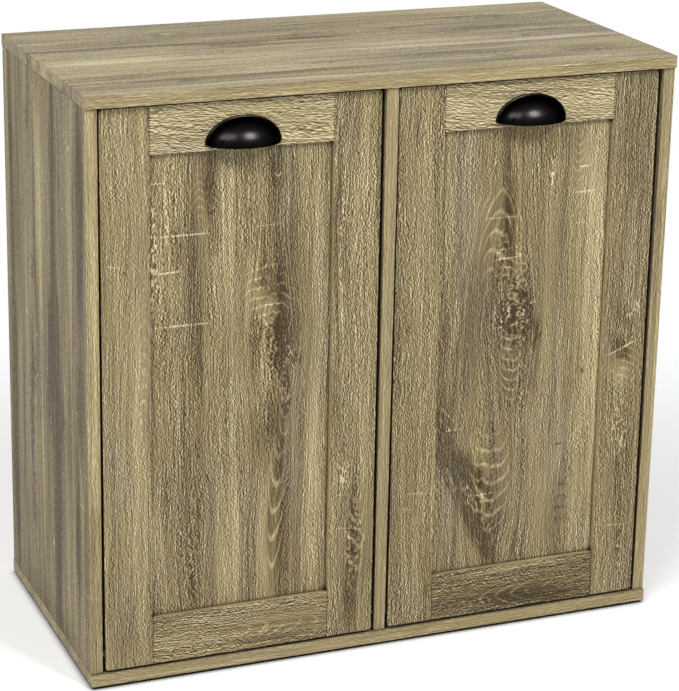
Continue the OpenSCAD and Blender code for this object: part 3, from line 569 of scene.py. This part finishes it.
LEFT_INNER_MARKS = marks(bow=[
    (-31, 110, 22, 110, 0.6),
], band=[
    (-51, 432, 3, 160, -0.35), (-27, 490, 14, 90, 0.1), (-34, 290, 10, 80, 0.06), (-31, 110, 20, 100, -0.2),
    (-34, 50, 16, 40, -0.15),
], rough=[
    (-31, 130, 14, 80, -0.2),
], flecks=[
    (-46, 432, 3, 130, 0.5), (-42, 190, 8, 26, 0.6), (-30, 120, 16, 60, 0.4),
], flame=[
    (-29, 118, 24, 84, 0.24, 0, 26, -0.3),
], scratch=[
    (-54, 134, -22, 130, 0.5), (-51, 169, -37, 168),
])
RIGHT_INNER_MARKS = marks(
    band=[(30, 536, 5, 44, -0.22), (21, 190, 7, 200, 0.14), (48, 200, 7, 170, -0.1)],
    rough=[(51, 54, 5, 8, -0.3)],
    scratch=[(21, 160, 55, 158), (20, 144, 36, 141)],
)
RIGHT_OUTER_MARKS = marks(band=[
    (268, 480, 22, 120, -0.06), (266, 322, 26, 16, -0.16, 60), (264, 262, 20, 26, 0.12),
    (264, 288, 26, 12, -0.3, 67), (270, 140, 20, 120, -0.18), (272, 66, 6, 40, -0.35),
], rough=[
    (264, 286, 24, 12, -0.25, 67), (268, 200, 16, 60, -0.15),
], flecks=[
    (276, 329, 14, 9, 0.6, -50), (272, 66, 5, 34, 0.6), (268, 200, 16, 40, 0.4),
], flame=[
    (266, 274, 22, 34, 0.28, 60, 8, 0.03),
], scratch=[
    (243, 280, 286, 298, 0.7, 1.5), (251, 94, 286, 92),
])
LEFT_TOP_RAIL_MARKS = marks(
    rough=[(546, -81, 9, 30, -0.12), (541, -212, 11, 32, -0.12)],
) + joints(-1)
LEFT_BOTTOM_RAIL_MARKS = marks(
    bow=[(36, -110, 14, 60, 0.6)],
    band=[(26, -120, 7, 90, -0.22), (40, -160, 5, 60, -0.16), (56, -190, 6, 50, 0.12)],
    flecks=[(30, -120, 6, 50, 0.3)],
    flame=[(38, -106, 20, 70, 0.3, 0, 18, 0.2)],
) + joints(-1)
RIGHT_BOTTOM_RAIL_MARKS = marks(
    band=[(60, 150, 9, 110, 0.2), (30, 150, 14, 100, -0.28), (24, 200, 8, 50, -0.16)],
    flecks=[(30, 110, 7, 30, 0.4)],
    flame=[(34, 150, 18, 80, 0.28, 0, 18, -0.2)],
) + joints(1)


def tuned(look, tone, contrast=0.0):
    """A look with its level and the contrast of its threads changed."""
    return (look[0] + tone, look[1] + contrast, *look[2:])


# Each board: axes across, through and along the grain, seed, look, marks, slant of the grain, hairs' length
BOARDS = {
    "top_panel": ("yzx", 3, CASE_TOP, TOP_MARKS),
    "bottom_panel": ("yzx", 11, CASE_TOP),
    "left_side": ("yxz", 5, CASE_SIDE, SIDE_MARKS),
    "right_side": ("yxz", 17, CASE_SIDE),
    "divider": ("yxz", 23, CASE_SIDE),
    "left_door_outer_stile": ("xyz", 31, tuned(FRONT, 0.1, -0.3), LEFT_OUTER_MARKS),
    "left_door_inner_stile": ("xyz", 37, tuned(FRONT, -0.01), LEFT_INNER_MARKS),
    "left_door_top_rail": ("zyx", 41, RAIL_TOP, LEFT_TOP_RAIL_MARKS, 0.14, 4.5),
    "left_door_bottom_rail": ("zyx", 43, tuned(FRONT, -0.04, 0.2), LEFT_BOTTOM_RAIL_MARKS),
    "left_door_panel": ("xyz", 47, tuned(FRONT, 0.01, -0.1), LEFT_PANEL_MARKS),
    "right_door_outer_stile": ("xyz", 53, tuned(FRONT, 0.02), RIGHT_OUTER_MARKS),
    "right_door_inner_stile": ("xyz", 59, tuned(FRONT, -0.04), RIGHT_INNER_MARKS),
    "right_door_top_rail": ("zyx", 61, RAIL_TOP, joints(1), 0.1, 4.5),
    "right_door_bottom_rail": ("zyx", 67, tuned(FRONT, -0.15, 0.2), RIGHT_BOTTOM_RAIL_MARKS),
    "right_door_panel": ("xyz", 71, tuned(FRONT, 0, -0.1), RIGHT_PANEL_MARKS),
}


def steel(name):
    s = Shader(name)
    brushed = s.noise(s.place, (9, 0.5, 0.5), 2, detail=3)
    cloud = s.noise(s.place, (7, 7, 7), 5, detail=3)
    stops = [(0.3, (150, 152, 156)), (0.55, (186, 188, 190)), (0.75, (206, 207, 206))]
    s.set(Base_Color=s.ramp(cloud, stops), Metallic=1.0, Roughness=s.plus(0.24, brushed, 0.22))
    s.bump(brushed, 0.05, 0.4)
    return s.material


def painted_metal(name):
    s = Shader(name)
    orange_peel = s.noise(s.place, (1.6, 1.6, 1.6), 3, detail=1)
    dust = s.noise(s.place, (0.35, 0.35, 0.35), 8, detail=2)
    s.set(Base_Color=s.ramp(dust, [(0.4, (11, 10, 10)), (0.8, (16, 15, 14))]), Metallic=1.0)
    s.set(Specular_Tint=(0.1, 0.1, 0.1, 1), Roughness=s.plus(0.24, dust, 0.06))
    s.bump(orange_peel, 0.03, 0.25)
    return s.material


def plastic(name, colour, darker):
    s = Shader(name)
    cloud = s.noise(s.place, (5, 5, 5), 4, detail=3)
    grit = s.noise(s.place, (0.3, 0.3, 0.3), 9, detail=1)
    s.set(Base_Color=s.ramp(cloud, [(0.3, darker), (0.7, colour)]), Roughness=s.plus(0.4, grit, 0.15))
    s.set(Subsurface_Weight=0.05)
    s.bump(grit, 0.03, 0.3)
    return s.material


def fibreboard(name):
    s = Shader(name)
    fluff = s.noise(s.place, (2.4, 2.4, 2.4), 1, detail=5, rough=0.7)
    cloud = s.noise(s.place, (45, 45, 45), 6, detail=2)
    stops = [(0.2, (92, 70, 45)), (0.5, (128, 101, 70)), (0.75, (154, 126, 92))]
    s.set(Base_Color=s.ramp(s.vary(fluff, cloud, 0.15), stops), Roughness=0.78)
    s.bump(fluff, 0.15, 0.4)
    return s.material


def dowel_wood(name):
    s = Shader(name)
    fibre = s.noise(s.place, (6, 0.5, 0.5), 2, detail=2)
    stops = [(0.3, (178, 142, 100)), (0.6, (214, 184, 140)), (0.8, (230, 206, 166))]
    s.set(Base_Color=s.ramp(fibre, stops), Roughness=0.7)
    s.bump(fibre, 0.1, 0.3)
    return s.material


def ferrite(name):
    s = Shader(name)
    grit = s.noise(s.place, (0.4, 0.4, 0.4), 2, detail=3)
    s.set(Base_Color=s.ramp(grit, [(0.3, (38, 37, 38)), (0.7, (66, 64, 64))]), Roughness=0.55, Metallic=0.35)
    s.bump(grit, 0.05, 0.5)
    return s.material


def canvas(name):
    """Unbleached canvas: a plain weave, a cloudy tone and a double row of stitches under the hem."""
    s = Shader(name)
    u, v, _ = s.split(s.vector("MULTIPLY", s.coords["UV"], (1000, 1000, 0)))
    yarn = s.noise(s.join(u, v, 0), (14, 1.1, 1), 1, detail=1)
    warp_yarn = s.noise(s.join(u, v, 0), (1.1, 14, 1), 2, detail=1)
    over, under = (s.math("SINE", s.times(way, 2 * math.pi / WEAVE_STEP)) for way in (u, v))
    weave = s.times(over, under)
    cloud = s.noise(s.place, (60, 60, 60), 3, detail=3)
    total = s.plus(s.times(weave, 0.05), s.math("ADD", yarn, warp_yarn), 0.5)
    total = s.vary(total, cloud, 0.4)
    seam = s.add("ShaderNodeUVMap", uv_map="seam").outputs[0]
    beside = s.math("ABSOLUTE", s.times(s.split(seam)[0], 1000))
    rows = ((v, BAG_HEIGHT - HEM + 3, u), (v, BAG_HEIGHT - 2, u), (beside, 2.5, v))
    stitch = 0.0
    for across, place, run in rows:
        thin = s.math("LESS_THAN", s.math("ABSOLUTE", s.math("SUBTRACT", across, place)), 0.45)
        dash = s.math("LESS_THAN", s.math("FRACT", s.times(run, 1 / STITCH_STEP)), 0.7)
        stitch = s.math("MAXIMUM", stitch, s.times(thin, dash))
    joint = s.spread(beside, 1.0, 0.2)
    cloth = s.ramp(total, [(0.3, (176, 164, 136)), (0.52, (205, 194, 166)), (0.75, (226, 217, 192))])
    cloth = s.mix(s.times(joint, 0.7), cloth, linear((120, 108, 84)))
    s.set(Base_Color=s.mix(stitch, cloth, linear((238, 232, 214))), Roughness=0.9, Specular_IOR_Level=0.2)
    s.set(Sheen_Weight=0.25, Sheen_Roughness=0.6)
    relief = s.plus(s.plus(total, joint, -2.0), weave, 0.5)
    s.bump(s.plus(relief, stitch, 2.0), 0.25, 0.6)
    return s.material


def floor_paint(name):
    """Pale floor that keeps the shadow near the cabinet, darkened there by a painted shadow, and goes to
    white further out.
    """
    s = Shader(name)
    mottle = s.noise(s.place, (400, 400, 400), 2)
    paint = s.ramp(mottle, [(0.3, (244, 244, 243)), (0.7, (248, 248, 248))])
    # Painted shadow: the floor goes dark brown where ambient occlusion finds it shut in under the cabinet
    under = s.painted_shade_mask(14)
    s.set(Base_Color=s.mix(under, linear(PAINTED_SHADE), paint), Roughness=0.9, Specular_IOR_Level=0.1)
    distance = s.vector("LENGTH", s.vector("MULTIPLY", s.coords["Object"], (1, 1, 0)))
    far = s.spread(distance, 0.45, 1.0)
    seen = s.seen()
    # The floor's glow is also cut in that painted shadow
    lift = s.feed(s.add("ShaderNodeEmission"), Strength=s.times(s.times(seen, under), 0.28))
    near = s.fill(s.add("ShaderNodeAddShader"), s.bsdf.outputs[0], lift[0])
    glow = s.feed(s.add("ShaderNodeEmission"), Color=(1, 1, 1, 1))
    mixed = s.fill(s.add("ShaderNodeMixShader"), s.times(far, seen), near[0], glow[0])
    s.feed(s.output, Surface=mixed[0])
    return s.material


def set_world(ambient):
    """White where the camera, a reflection or a clear piece sees it; a plain grey level as light."""
    world = bpy.data.worlds.new("studio")
    bpy.context.scene.world = world
    world.use_nodes = True
    nodes = Nodes(world.node_tree)
    level = nodes.plus(ambient, nodes.seen(), 1 - ambient)
    background = nodes.feed(nodes.add("ShaderNodeBackground"), Color=(1, 1, 1, 1), Strength=level)
    nodes.feed(nodes.add("ShaderNodeOutputWorld"), Surface=background[0])


# Dressing the frame's own pieces

def paint(obj, material):
    obj.data.materials.clear()
    obj.data.materials.append(material)
    for face in obj.data.polygons:
        face.material_index = 0


def soften(obj, width):
    """Rounds the sharp edges of a board a little, without touching its mesh."""
    weld = obj.modifiers.new("weld", "WELD")
    weld.merge_threshold = 0.00002
    bevel = obj.modifiers.new("bevel", "BEVEL")
    bevel.width = width * MM
    bevel.segments = 2
    bevel.limit_method = "ANGLE"
    bevel.angle_limit = math.radians(50)
    bevel.harden_normals = True


def dress_frame(nodes):
    by_slot = {
        "zinc_steel": steel("steel_look"),
        "nylon": plastic("nylon_look", (46, 45, 43), (38, 37, 36)),
        "hardboard": fibreboard("fibreboard_look"),
        "beech": dowel_wood("dowel_look"),
        "magnet": ferrite("magnet_look"),
    }
    for name, obj in nodes.items():
        if name in BOARDS:
            paint(obj, wood(name + "_print", *BOARDS[name]))
            soften(obj, DOOR_EDGE if "door" in name else CASE_EDGE)
            continue
        was = obj.data.materials[0].name.split(".")[0] if obj.data.materials else ""
        if was in by_slot:
            paint(obj, by_slot[was])


# New pieces

def new_piece(name, mesh, material, body, replaced):
    """A smooth piece that stands in for a node of the frame."""
    for face in mesh.polygons:
        face.use_smooth = True
    mesh.materials.append(material)
    obj = link(bpy.data.objects.new(name, mesh))
    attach(obj, body)
    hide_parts(replaced)
    return obj


def door_place(side):
    """From a door's own millimetres, measured from its pivot axis, to the row frame in metres."""
    return (Matrix.Translation(Vector((side * BAY_X, PIVOT_Y, PIVOT_Z)) * MM)
            @ Matrix.Rotation(-math.radians(DOOR_LEAN), 4, "X") @ Matrix.Scale(MM, 4))


def quads(rows):
    """The corners of the faces between successive rows."""
    for first, second in zip(rows, rows[1:]):
        yield from zip(first, first[1:], second[1:], second)


def strip(shape, rows):
    """Faces between successive rows of vertices, left out where two corners are one."""
    for quad in quads(rows):
        if len(set(quad)) == 4:
            shape.faces.new(quad)


def dome_row(shape, grow, phi=0.0, lower=0.0, ahead=0.0):
    """Half an ellipse turned forward by phi about the pull's lower rear edge."""
    row = []
    for i in range(PULL_STEPS + 1):
        t = math.pi * (i / PULL_STEPS - 0.5)
        reach = (PULL_R + grow) * math.cos(t)
        y, z = DOOR_FRONT + ahead - reach * math.sin(phi), PULL_Z + reach * math.cos(phi) - lower
        row.append(shape.verts.new(((PULL_A + grow) * math.sin(t), y, z)))
    return row


def add_boss(shape, x):
    reach = PULL_R * math.sqrt(1 - (x / PULL_A) ** 2) - 1.2
    middle = Matrix.Translation((x, DOOR_FRONT - reach / 2, PULL_Z + BOSS_Z))
    bmesh.ops.create_cone(shape, cap_ends=True, segments=32, radius1=BOSS_R, radius2=BOSS_R * 0.85,
                          depth=reach, matrix=middle @ Matrix.Rotation(math.pi / 2, 4, "X"))


def build_pull(shape):
    """A thin dome with a rounded lip and two bosses, and a rim whose fillet runs into the dome."""
    quarter = math.pi / 2
    outer, inner = ([dome_row(shape, grow, quarter * k / PULL_TURNS) for k in range(PULL_TURNS + 1)]
                    for grow in (0, -PULL_WALL))
    rounded = [dome_row(shape, -PULL_WALL * f, quarter, PULL_LIP) for f in (0.25, 0.75)]
    strip(shape, outer + rounded + inner[::-1] + outer[:1])
    for x in (-BOSS_X, BOSS_X):
        add_boss(shape, x)
    hollow = [(PULL_FILLET * (1 - math.sin(t)), -PULL_RIM_T - PULL_FILLET * (1 - math.cos(t)))
              for t in (quarter * k / 6 for k in range(7))]
    profile = [(PULL_RIM, 0), (PULL_RIM, -1.0), (PULL_RIM - 0.25, -1.55), (PULL_RIM - 0.8, -PULL_RIM_T)]
    profile += hollow + [(-1.0, -PULL_RIM_T - PULL_FILLET), (-1.0, 0)]
    rows = [dome_row(shape, grow, ahead=y) for grow, y in profile]
    strip(shape, rows + rows[:1])
    for end in (0, -1):
        shape.faces.new([row[end] for row in rows])
    bmesh.ops.remove_doubles(shape, verts=shape.verts, dist=0.001)


def add_pulls(material):
    pulls = []
    for hand, side in SIDES.items():
        shape = bmesh.new()
        build_pull(shape)
        bmesh.ops.transform(shape, matrix=door_place(side), verts=shape.verts)
        bmesh.ops.recalc_face_normals(shape, faces=shape.faces)
        name = hand + "_cup_pull_shell"
        mesh = bpy.data.meshes.new(name)
        shape.to_mesh(mesh)
        shape.free()
        pull = new_piece(name, mesh, material, hand + "_door", hand + "_cup_pull")
        mesh.set_sharp_from_angle(angle=math.radians(50))
        pulls.append(pull)
    return pulls


def shine_on(pulls):
    """Soft lamps that only the black pulls mirror."""
    group = bpy.data.collections.new("mirroring")
    for pull in pulls:
        group.objects.link(pull)
    for lamp in (add_softbox("shine_right", *RIGHT_LAMP, (0.6, 0.8), 300),
                 add_softbox("shine_left", *LEFT_LAMP, (1.5, 0.6), 260)):
        lamp.light_linking.receiver_collection = group


def even_points(path, steps):
    """Points evenly spaced along a path, without its last one, and the path's length."""
    lengths = [0]
    for p, q in zip(path, path[1:]):
        lengths.append(lengths[-1] + (q - p).length)
    points = []
    for i in range(steps):
        want = lengths[-1] * i / steps
        k = max(j for j, have in enumerate(lengths) if have <= want)
        share = (want - lengths[k]) / (lengths[k + 1] - lengths[k])
        points.append(path[k].lerp(path[k + 1], share))
    return points, lengths[-1]


def bag_outline(z):
    """Points round the bag at a height over its base, and how far round each one is."""
    level = z / BAG_HEIGHT
    inset = BASE_ROUND - math.sqrt(BASE_ROUND ** 2 - max(BASE_ROUND - z, 0) ** 2)
    half = BAG_BASE_HALF + (BAG_TOP_HALF - BAG_BASE_HALF) * level - inset
    front = ROD_Y[0] + inset
    rear = BAG_BASE_REAR + (ROD_Y[1] - BAG_BASE_REAR) * level - inset
    r = BAG_CORNER
    lead = half - (BAG_TOP_HALF - SLEEVE_HALF)
    arcs = []
    for y, start in ((front + r, -90), (rear - r, 0)):
        for k in range(7):
            a = math.radians(start + 15 * k)
            arcs.append(Vector((half - r + r * math.cos(a), y + r * math.sin(a))))
    side = [Vector((lead, front))] + arcs + [Vector((lead, rear))]
    other = [Vector((-p.x, p.y)) for p in reversed(side)]
    points, around, start = [], [], 0
    for path, steps in (([other[-1], side[0]], FRONT_STEPS), (side, SIDE_STEPS),
                        ([side[-1], other[0]], FRONT_STEPS), (other, SIDE_STEPS)):
        some, length = even_points(path, steps)
        points += some
        around += [start + length * i / steps for i in range(steps)]
        start += length
    return points, around


def bag_heights():
    """Rows of the bag's wall over its base, closer together at the base and at the mouth."""
    low = [0, 1.5, 4, BASE_ROUND, 14]
    high = [BAG_HEIGHT - down for down in (22, HEM, HEM / 2, 0)]
    count = 38
    middle = [low[-1] + (high[0] - low[-1]) * k / count for k in range(1, count)]
    return low + middle + high


def closed_row(start, count):
    """The numbers of a row of points all the way round."""
    return [start + i % count for i in range(count + 1)]


def bag_grid(rings_in=9):
    """Vertices, faces and flat places of the open bag before it hangs, in the door's millimetres."""
    points, flat, wall = [], [], []
    for z in bag_heights():
        outline, around = bag_outline(z)
        wall.append(closed_row(len(points), len(outline)))
        points += [(p.x, p.y, BAG_LOW + z) for p in outline]
        flat += [(u, z) for u in around]
    middle = Vector((0, (ROD_Y[0] + BAG_BASE_REAR) / 2))
    base = bag_outline(0)[0]
    rings = [wall[0]]
    for ring in range(1, rings_in):
        rings.append(closed_row(len(points), len(base)))
        inner = [middle.lerp(p, 1 - ring / rings_in) for p in base]
        points += [(q.x, q.y, BAG_LOW) for q in inner]
        flat += [(q.x, q.y - BAG_HEIGHT) for q in inner]
    points.append((middle.x, middle.y, BAG_LOW))
    flat.append((middle.x, middle.y - BAG_HEIGHT))
    faces = list(quads(wall)) + [(a, d, c, b) for a, b, c, d in quads(rings)]
    faces += [(a, len(points) - 1, b) for a, b in zip(rings[-1], rings[-1][1:])]
    return points, faces, flat


def hang(points, faces, frames=30):
    """Lets the bag hang from its two sleeves and gives the new places, in millimetres."""
    mesh = bpy.data.meshes.new("hanging")
    mesh.from_pydata([Vector(p) * MM for p in points], [], faces)
    obj = link(bpy.data.objects.new("hanging", mesh))
    held = obj.vertex_groups.new(name="held")
    for i, p in enumerate(points):
        on_sleeve = min(abs(p[1] - y) for y in ROD_Y) < 1 and abs(p[0]) <= SLEEVE_HALF + 1
        if p[2] > BAG_HIGH - 1 and on_sleeve:
            held.add([i], 1.0, "REPLACE")
    cloth = obj.modifiers.new("cloth", "CLOTH")
    settings = cloth.settings
    settings.quality = 8
    settings.mass = 0.008
    settings.tension_stiffness = settings.compression_stiffness = 25
    settings.shear_stiffness = 8
    settings.bending_stiffness = 1.2
    settings.vertex_group_mass = "held"
    settings.shrink_min = -0.015
    cloth.collision_settings.use_collision = False
    cloth.point_cache.frame_start, cloth.point_cache.frame_end = 1, frames
    scene = bpy.context.scene
    for number in range(1, frames + 1):
        scene.frame_set(number)
    moved = obj.evaluated_get(bpy.context.evaluated_depsgraph_get())
    places = [v.co / MM for v in moved.data.vertices]
    scene.frame_set(1)
    bpy.data.objects.remove(obj)
    return places


def kept_near(places, points, outward=2.5, inward=14):
    """Caps how far the cloth may move from the CAD form: more inwards than towards its neighbours."""
    near = []
    centre_y = (ROD_Y[0] + ROD_Y[1]) / 2
    for place, start in zip(places, (Vector(p) for p in points)):
        step = place - start
        away = Vector((start.x, start.y - centre_y, 0))
        reach = outward if step.dot(away) > 0 else inward
        if step.length > reach:
            step = step.normalized() * reach
        near.append(start + step)
    return near


def creased(places, flat, count):
    """Adds gathers under the mouth, slack folds in the walls and a heap of small ones over the base."""
    rows = len(bag_heights())
    centre_y = (ROD_Y[0] + BAG_BASE_REAR) / 2
    done = []
    for i, (p, (u, v)) in enumerate(zip(places, flat)):
        if i >= rows * count:
            done.append(p + Vector((0, 0, (noise.noise(p / 34) - 0.5) * LUMP_DEPTH)))
            continue
        turn = 2 * math.pi * (i % count) / count
        gather = math.exp((v - BAG_HEIGHT) / 70) * math.sin(GATHERS * turn + 2.5 * noise.noise(p / 80))
        slack = noise.noise(Vector((p.x / 60, p.y / 60, p.z / 150)))
        heap = math.exp(-v / 55) * noise.noise(Vector((p.x / 30, p.y / 30, p.z / 17 + 9)))
        rim = min(1, (BAG_HEIGHT - v) / 12)
        depth = -abs((GATHER_DEPTH * gather + SLACK_DEPTH * slack + HEAP_DEPTH * heap) * rim)
        away = Vector((p.x, p.y - centre_y, 0)).normalized()
        done.append(p + away * depth)
    return done


def inward_of(places, row, i, count):
    step = places[row * count + (i + 1) % count] - places[row * count + (i - 1) % count]
    return Vector((-step.y, step.x, 0)).normalized()


def hem_profile():
    """The folded edge of a side: how far inwards and up each point lies from the wall's top."""
    half = HEM_GAP / 2
    return [(half - half * math.cos(a), 1.2 * half * math.sin(a)) for a in
            (math.pi * k / 4 for k in range(1, 5))]


def sleeve_profile():
    """The cloth's way from the wall's top round the rod and back."""
    r = ROD_R + SLEEVE_PLAY
    drop = ROD_Z - BAG_HIGH
    first = math.acos(r / drop)
    steps = 20
    turns = [first + (2 * math.pi - 2 * first) * k / steps for k in range(steps + 1)]
    ring = [(-r * math.sin(a), drop - r * math.cos(a)) for a in turns]
    start, end = ring[0], ring[-1]
    up = [(start[0] * f, start[1] * f) for f in (0.33, 0.67)]
    down = [(end[0] + (HEM_GAP - end[0]) * f, end[1] * (1 - f)) for f in (0.33, 0.67, 1)]
    return up + ring + down


def sew(bag, place, uv):
    """Adds a point with its flat place to the bag, and gives its number."""
    places, faces, flat, count = bag
    places.append(place)
    flat.append(uv)
    return len(places) - 1


def add_edge(bag, columns, profile):
    """Folds the cloth over along some columns of the mouth, with its tail stitched down inside."""
    places, faces, flat, count = bag
    top = len(bag_heights()) - 1
    rows = [[top * count + i % count for i in columns]]
    far = flat[rows[0][0]][1]
    for inward, up in profile:
        far += 1
        row = []
        for i, at in zip(columns, rows[0]):
            fold = inward_of(places, top, i, count) * inward + Vector((0, 0, up))
            row.append(sew(bag, places[at] + fold, (flat[at][0], far)))
        rows.append(row)
    for down in (1, 2):
        row = []
        for i, at in zip(columns, (at - down * count for at in rows[0])):
            row.append(sew(bag, places[at] + inward_of(places, top, i, count) * HEM_GAP, flat[at]))
        rows.append(row)
    faces.extend(quads(rows))


def add_seam_flap(bag, column):
    """The seam allowance that stands inside the bag along a corner."""
    places, faces, flat, count = bag
    rows = []
    for level in range(3, len(bag_heights()) - 3):
        at = level * count + column
        inward = inward_of(places, level, column, count)
        row = []
        for k in range(4):
            sway = 1.4 * noise.noise(Vector((column, flat[at][1] / 25, k / 3)))
            reach = 0.8 + (SEAM_FLAP - 0.8) * k / 3
            stand = inward * reach + Vector((-inward.y, inward.x, 0)) * sway
            row.append(sew(bag, places[at] + stand, (flat[at][0] + 5 * k, flat[at][1])))
        rows.append(row)
    faces.extend(quads(rows))


def sewn_bag():
    points, faces, flat = bag_grid()
    count = 2 * (FRONT_STEPS + SIDE_STEPS)
    places = kept_near(hang(points, faces), points)
    places = creased([Vector(p) for p in places], flat, count)
    seams = [FRONT_STEPS + 1, FRONT_STEPS + SIDE_STEPS - 1, 2 * FRONT_STEPS + SIDE_STEPS + 1, count - 1]
    beside = {}
    for at in range(len(points)):
        row, column = divmod(at, count)
        gaps = [flat[at][0] - flat[row * count + seam][0] for seam in seams if row < len(bag_heights())]
        beside[at] = min(gaps, key=abs, default=FAR_OFF)
    bag = (places, faces, flat, count)
    start = 0
    for steps, profile in ((FRONT_STEPS, sleeve_profile()), (SIDE_STEPS, hem_profile())) * 2:
        add_edge(bag, range(start, start + steps + 1), profile)
        start += steps
    for seam in seams:
        add_seam_flap(bag, seam)
    return places, faces, flat, beside


def add_bags(material):
    places, faces, flat, beside = sewn_bag()
    for hand, side in SIDES.items():
        matrix = door_place(side)
        mesh = bpy.data.meshes.new(hand + "_bag")
        mesh.from_pydata([matrix @ Vector((side * p.x, p.y, p.z)) for p in places], [], faces)
        for name in ("flat", "seam"):
            layer = mesh.uv_layers.new(name=name)
            for loop in mesh.loops:
                u, v = flat[loop.vertex_index]
                if name == "seam":
                    u = beside.get(loop.vertex_index, FAR_OFF)
                layer.data[loop.index].uv = (u * MM, v * MM)
        name = hand + "_canvas_bag"
        bag = new_piece(name, mesh, material, hand + "_door", hand + "_laundry_bag")
        thick = bag.modifiers.new("thickness", "SOLIDIFY")
        thick.thickness = CLOTH * MM
        thick.offset = 0
        smooth = bag.modifiers.new("smooth", "SUBSURF")
        smooth.levels = smooth.render_levels = 1


def add_floor():
    mesh = bpy.data.meshes.new("floor")
    corners = [(x * FLOOR_HALF, y * FLOOR_HALF, 0) for x, y in ((-1, -1), (1, -1), (1, 1), (-1, 1))]
    mesh.from_pydata(corners, [], [(0, 1, 2, 3)])
    mesh.materials.append(floor_paint("floor_look"))
    floor = link(bpy.data.objects.new("floor", mesh))
    floor.location.z = -FLOOR_DROP


clear_default_objects()
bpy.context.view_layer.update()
bpy.context.scene.view_settings.view_transform = "Standard"
add_camera()
add_softbox("key", *RIGHT_LAMP, (0.3, 0.42), 22)
add_softbox("fill", *LEFT_LAMP, (1.2, 0.5), 30)
set_world(0.40)
add_floor()
dress_frame(frame["nodes"])
shine_on(add_pulls(painted_metal("black_metal_look")))
add_bags(canvas("canvas_look"))
